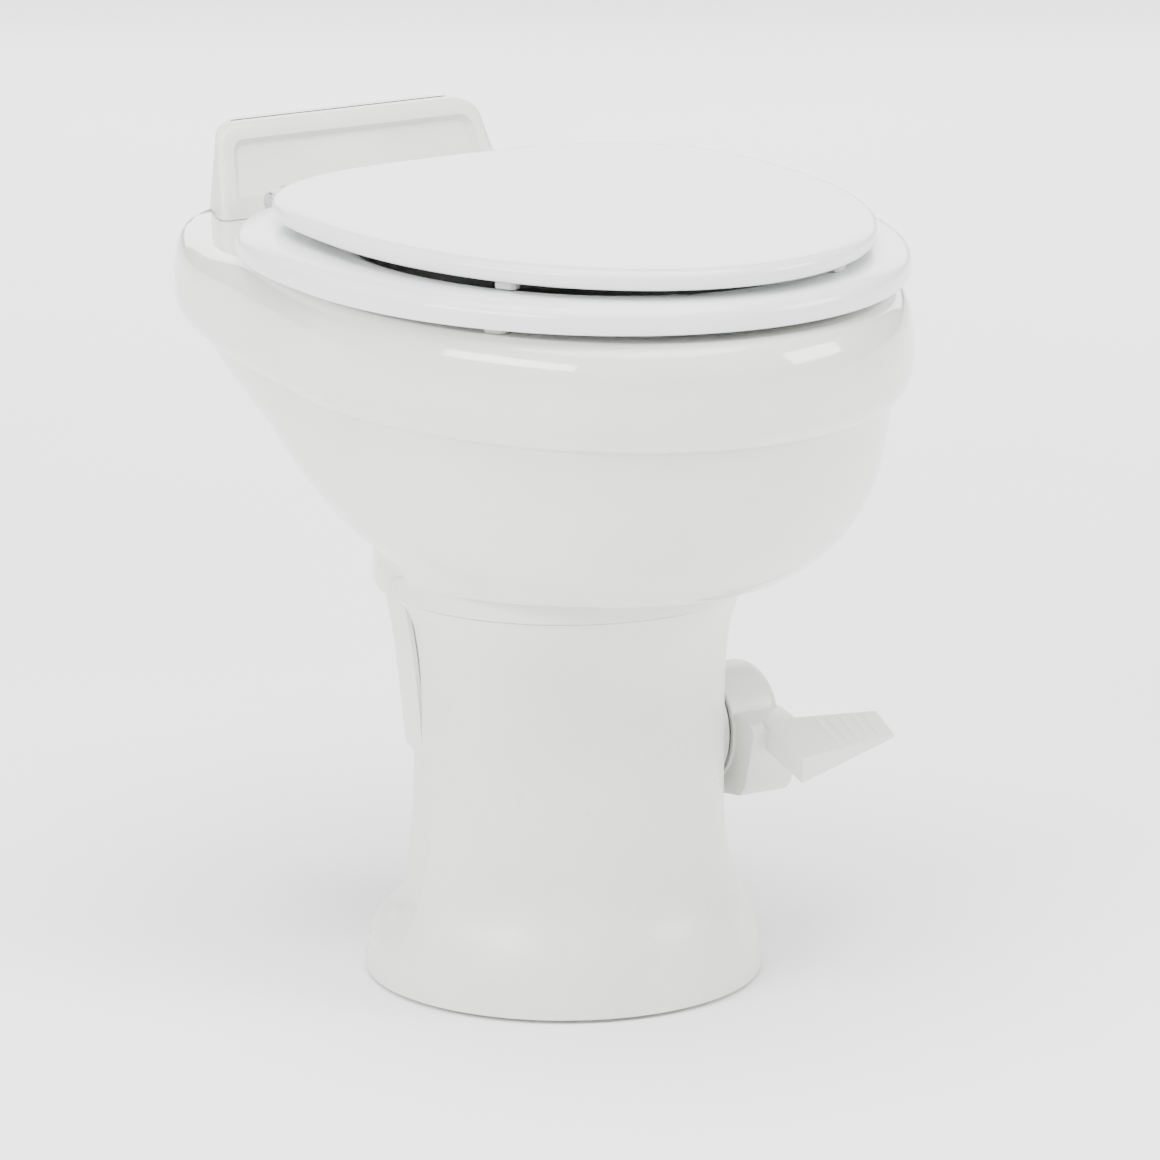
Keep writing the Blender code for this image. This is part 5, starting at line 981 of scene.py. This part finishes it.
def make_supply_line():
    """Hose from the water valve up the back of the pedestal to the vacuum breaker."""
    x, z = WATER_X, OUTLET_HEIGHT
    climb = LIP_BOTTOM + 18.7 * MM - z
    points = [(x, y * MM, z) for y in (104, 118, 124.5)]
    # Shares of the place across, of the deck's reach and of the climb
    for across, back, up in (
            (1.00, 0.513, 0.042), (0.99, 0.564, 0.145), (0.93, 0.547, 0.300),
            (0.81, 0.520, 0.460), (0.71, 0.530, 0.580), (0.62, 0.587, 0.700),
            (0.53, 0.690, 0.800), (0.47, 0.800, 0.880), (0.455, 0.875, 0.950)):
        points.append((x * across, DECK_REACH * back, z + climb * up))
    points += [(BREAKER_LEG_X, BREAKER_LEG_Y, height * MM) for height in (411.5, 418.0, 426.7)]
    path = curve_points(points, 8)
    last = len(path) - 1
    ahead = [(path[min(i + 1, last)] - path[max(i - 1, 0)]).normalized() for i in range(last + 1)]
    side = ahead[0].orthogonal().normalized()
    radius, bore, sides = 6.5 * MM, 5.3 * MM, 32
    outside, inside = [], []
    for point, forward in zip(path, ahead):
        side = (side - forward * side.dot(forward)).normalized()
        up = forward.cross(side)
        for loops, size in ((outside, radius), (inside, bore)):
            loops.append([point + size * (side * math.cos(a) + up * math.sin(a))
                          for a in even_angles(sides)])
    line = put("supply_line", skin(outside + inside[::-1]), HOSE)
    return dress(line, "base", "dark_plastic", "supply_hose")


make_pedestal()
make_shroud()
make_bowl()
make_seat()
make_lid()
make_cover()
make_pedal()
make_supply_line()

# Solids that stay as they are: the first row with a word of the solid's name gives its finish

FINISHES = (
    (("bumper",), PAD_RUBBER),
    (("seal", "gasket", "grommet"), RUBBER),
    (("hose",), HOSE),
    (("bolt", "washer", "screw", "shaft", "stud", "pin_", "clamp", "torsion", "floor_nut"), STEEL),
    (("cap", "elbow", "cam", "housing", "inlet_nut"), DARK_PLASTIC),
)


def finish_for(name):
    """Finish of a solid by its name. Pieces of the valve are plain acetal."""
    for words, finish in FINISHES:
        if any(word in name for word in words):
            return finish
    return VALVE_PLASTIC


for name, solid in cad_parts.items():
    finish = finish_for(name)
    if not solid.data.materials:
        solid.data.materials.append(finish)
    for index in range(len(solid.data.materials)):
        solid.data.materials[index] = finish


# Studio

def make_floor():
    """Wide flat pale sheet, reaching well past the picture."""
    finish, shader, place = new_finish("white_studio_sheet")
    cloud = noise(finish, place, 400 * MM, 2.0)
    paper = shades(finish, cloud, (0.3, "#F4F4F4"), (0.7, "#F7F7F7"))
    finish.node_tree.links.new(paper, shader.inputs["Base Color"])
    shader.inputs["Roughness"].default_value = 0.9
    shader.inputs["Specular IOR Level"].default_value = 0.1
    shape = bmesh.new()
    size = 12.0
    corners = ((-size, -size, 0), (size, -size, 0), (size, size, 0), (-size, size, 0))
    shape.faces.new([shape.verts.new(p) for p in corners])
    floor = put("studio_floor", shape, finish)
    # A hair under the foot, so that the two don't share a plane
    floor.location.z = -0.2 * MM


def add_softbox(name, place, aim, width, height, power):
    """Rectangular light that faces a place."""
    light = bpy.data.lights.new(name, "AREA")
    light.shape = "RECTANGLE"
    light.size, light.size_y = width, height
    light.energy = power
    thing = bpy.data.objects.new(name, light)
    bpy.context.scene.collection.objects.link(thing)
    thing.location = place
    thing.rotation_euler = (Vector(aim) - Vector(place)).to_track_quat("-Z", "Y").to_euler()


def make_studio():
    """Plain pale floor under soft light, as a catalogue picture has."""
    make_floor()
    world = bpy.data.worlds.new("studio")
    bpy.context.scene.world = world
    world.use_nodes = True
    back = world.node_tree.nodes["Background"]
    back.inputs["Color"].default_value = hex_colour("#FFFFFF")
    back.inputs["Strength"].default_value = 0.35
    light = bpy.data.lights.new("overhead_silk", "SUN")
    light.energy = 7.0
    light.angle = math.radians(60)
    silk = bpy.data.objects.new("overhead_silk", light)
    bpy.context.scene.collection.objects.link(silk)
    silk.rotation_euler = (math.radians(8), math.radians(-8), 0)
    body = (0, 0, 0.3)
    add_softbox("key_softbox", (-2.4, -0.55, 1.5), body, 2.0, 0.5, 75)
    add_softbox("fill_softbox", (1.7, -1.55, 1.3), body, 1.2, 0.7, 50)
    # Wide light behind, out of the picture: lid, seat and cover mirror it along their tops
    add_softbox("back_card", (1.65, 2.7, 1.35), (0, 0, 0.45), 4.0, 1.5, 85)


def make_camera():
    """Long lens from the photograph's side, a little above the rim."""
    azimuth, elevation = math.radians(-31.4), math.radians(14.5)
    distance = 4.74
    aim = Vector((0, 0, 0.25))
    back = Vector((math.sin(azimuth) * math.cos(elevation),
                   -math.cos(azimuth) * math.cos(elevation), math.sin(elevation)))
    lens = bpy.data.cameras.new("camera")
    lens.lens = 240.05
    lens.sensor_width = 36
    lens.shift_x = 0.01414
    lens.shift_y = -0.005
    lens.clip_start, lens.clip_end = 0.1, 60
    camera = bpy.data.objects.new("camera", lens)
    bpy.context.scene.collection.objects.link(camera)
    camera.location = aim + back * distance
    camera.rotation_euler = (-back).to_track_quat("-Z", "Y").to_euler()
    bpy.context.scene.camera = camera


make_studio()
make_camera()

bpy.context.view_layer.update()
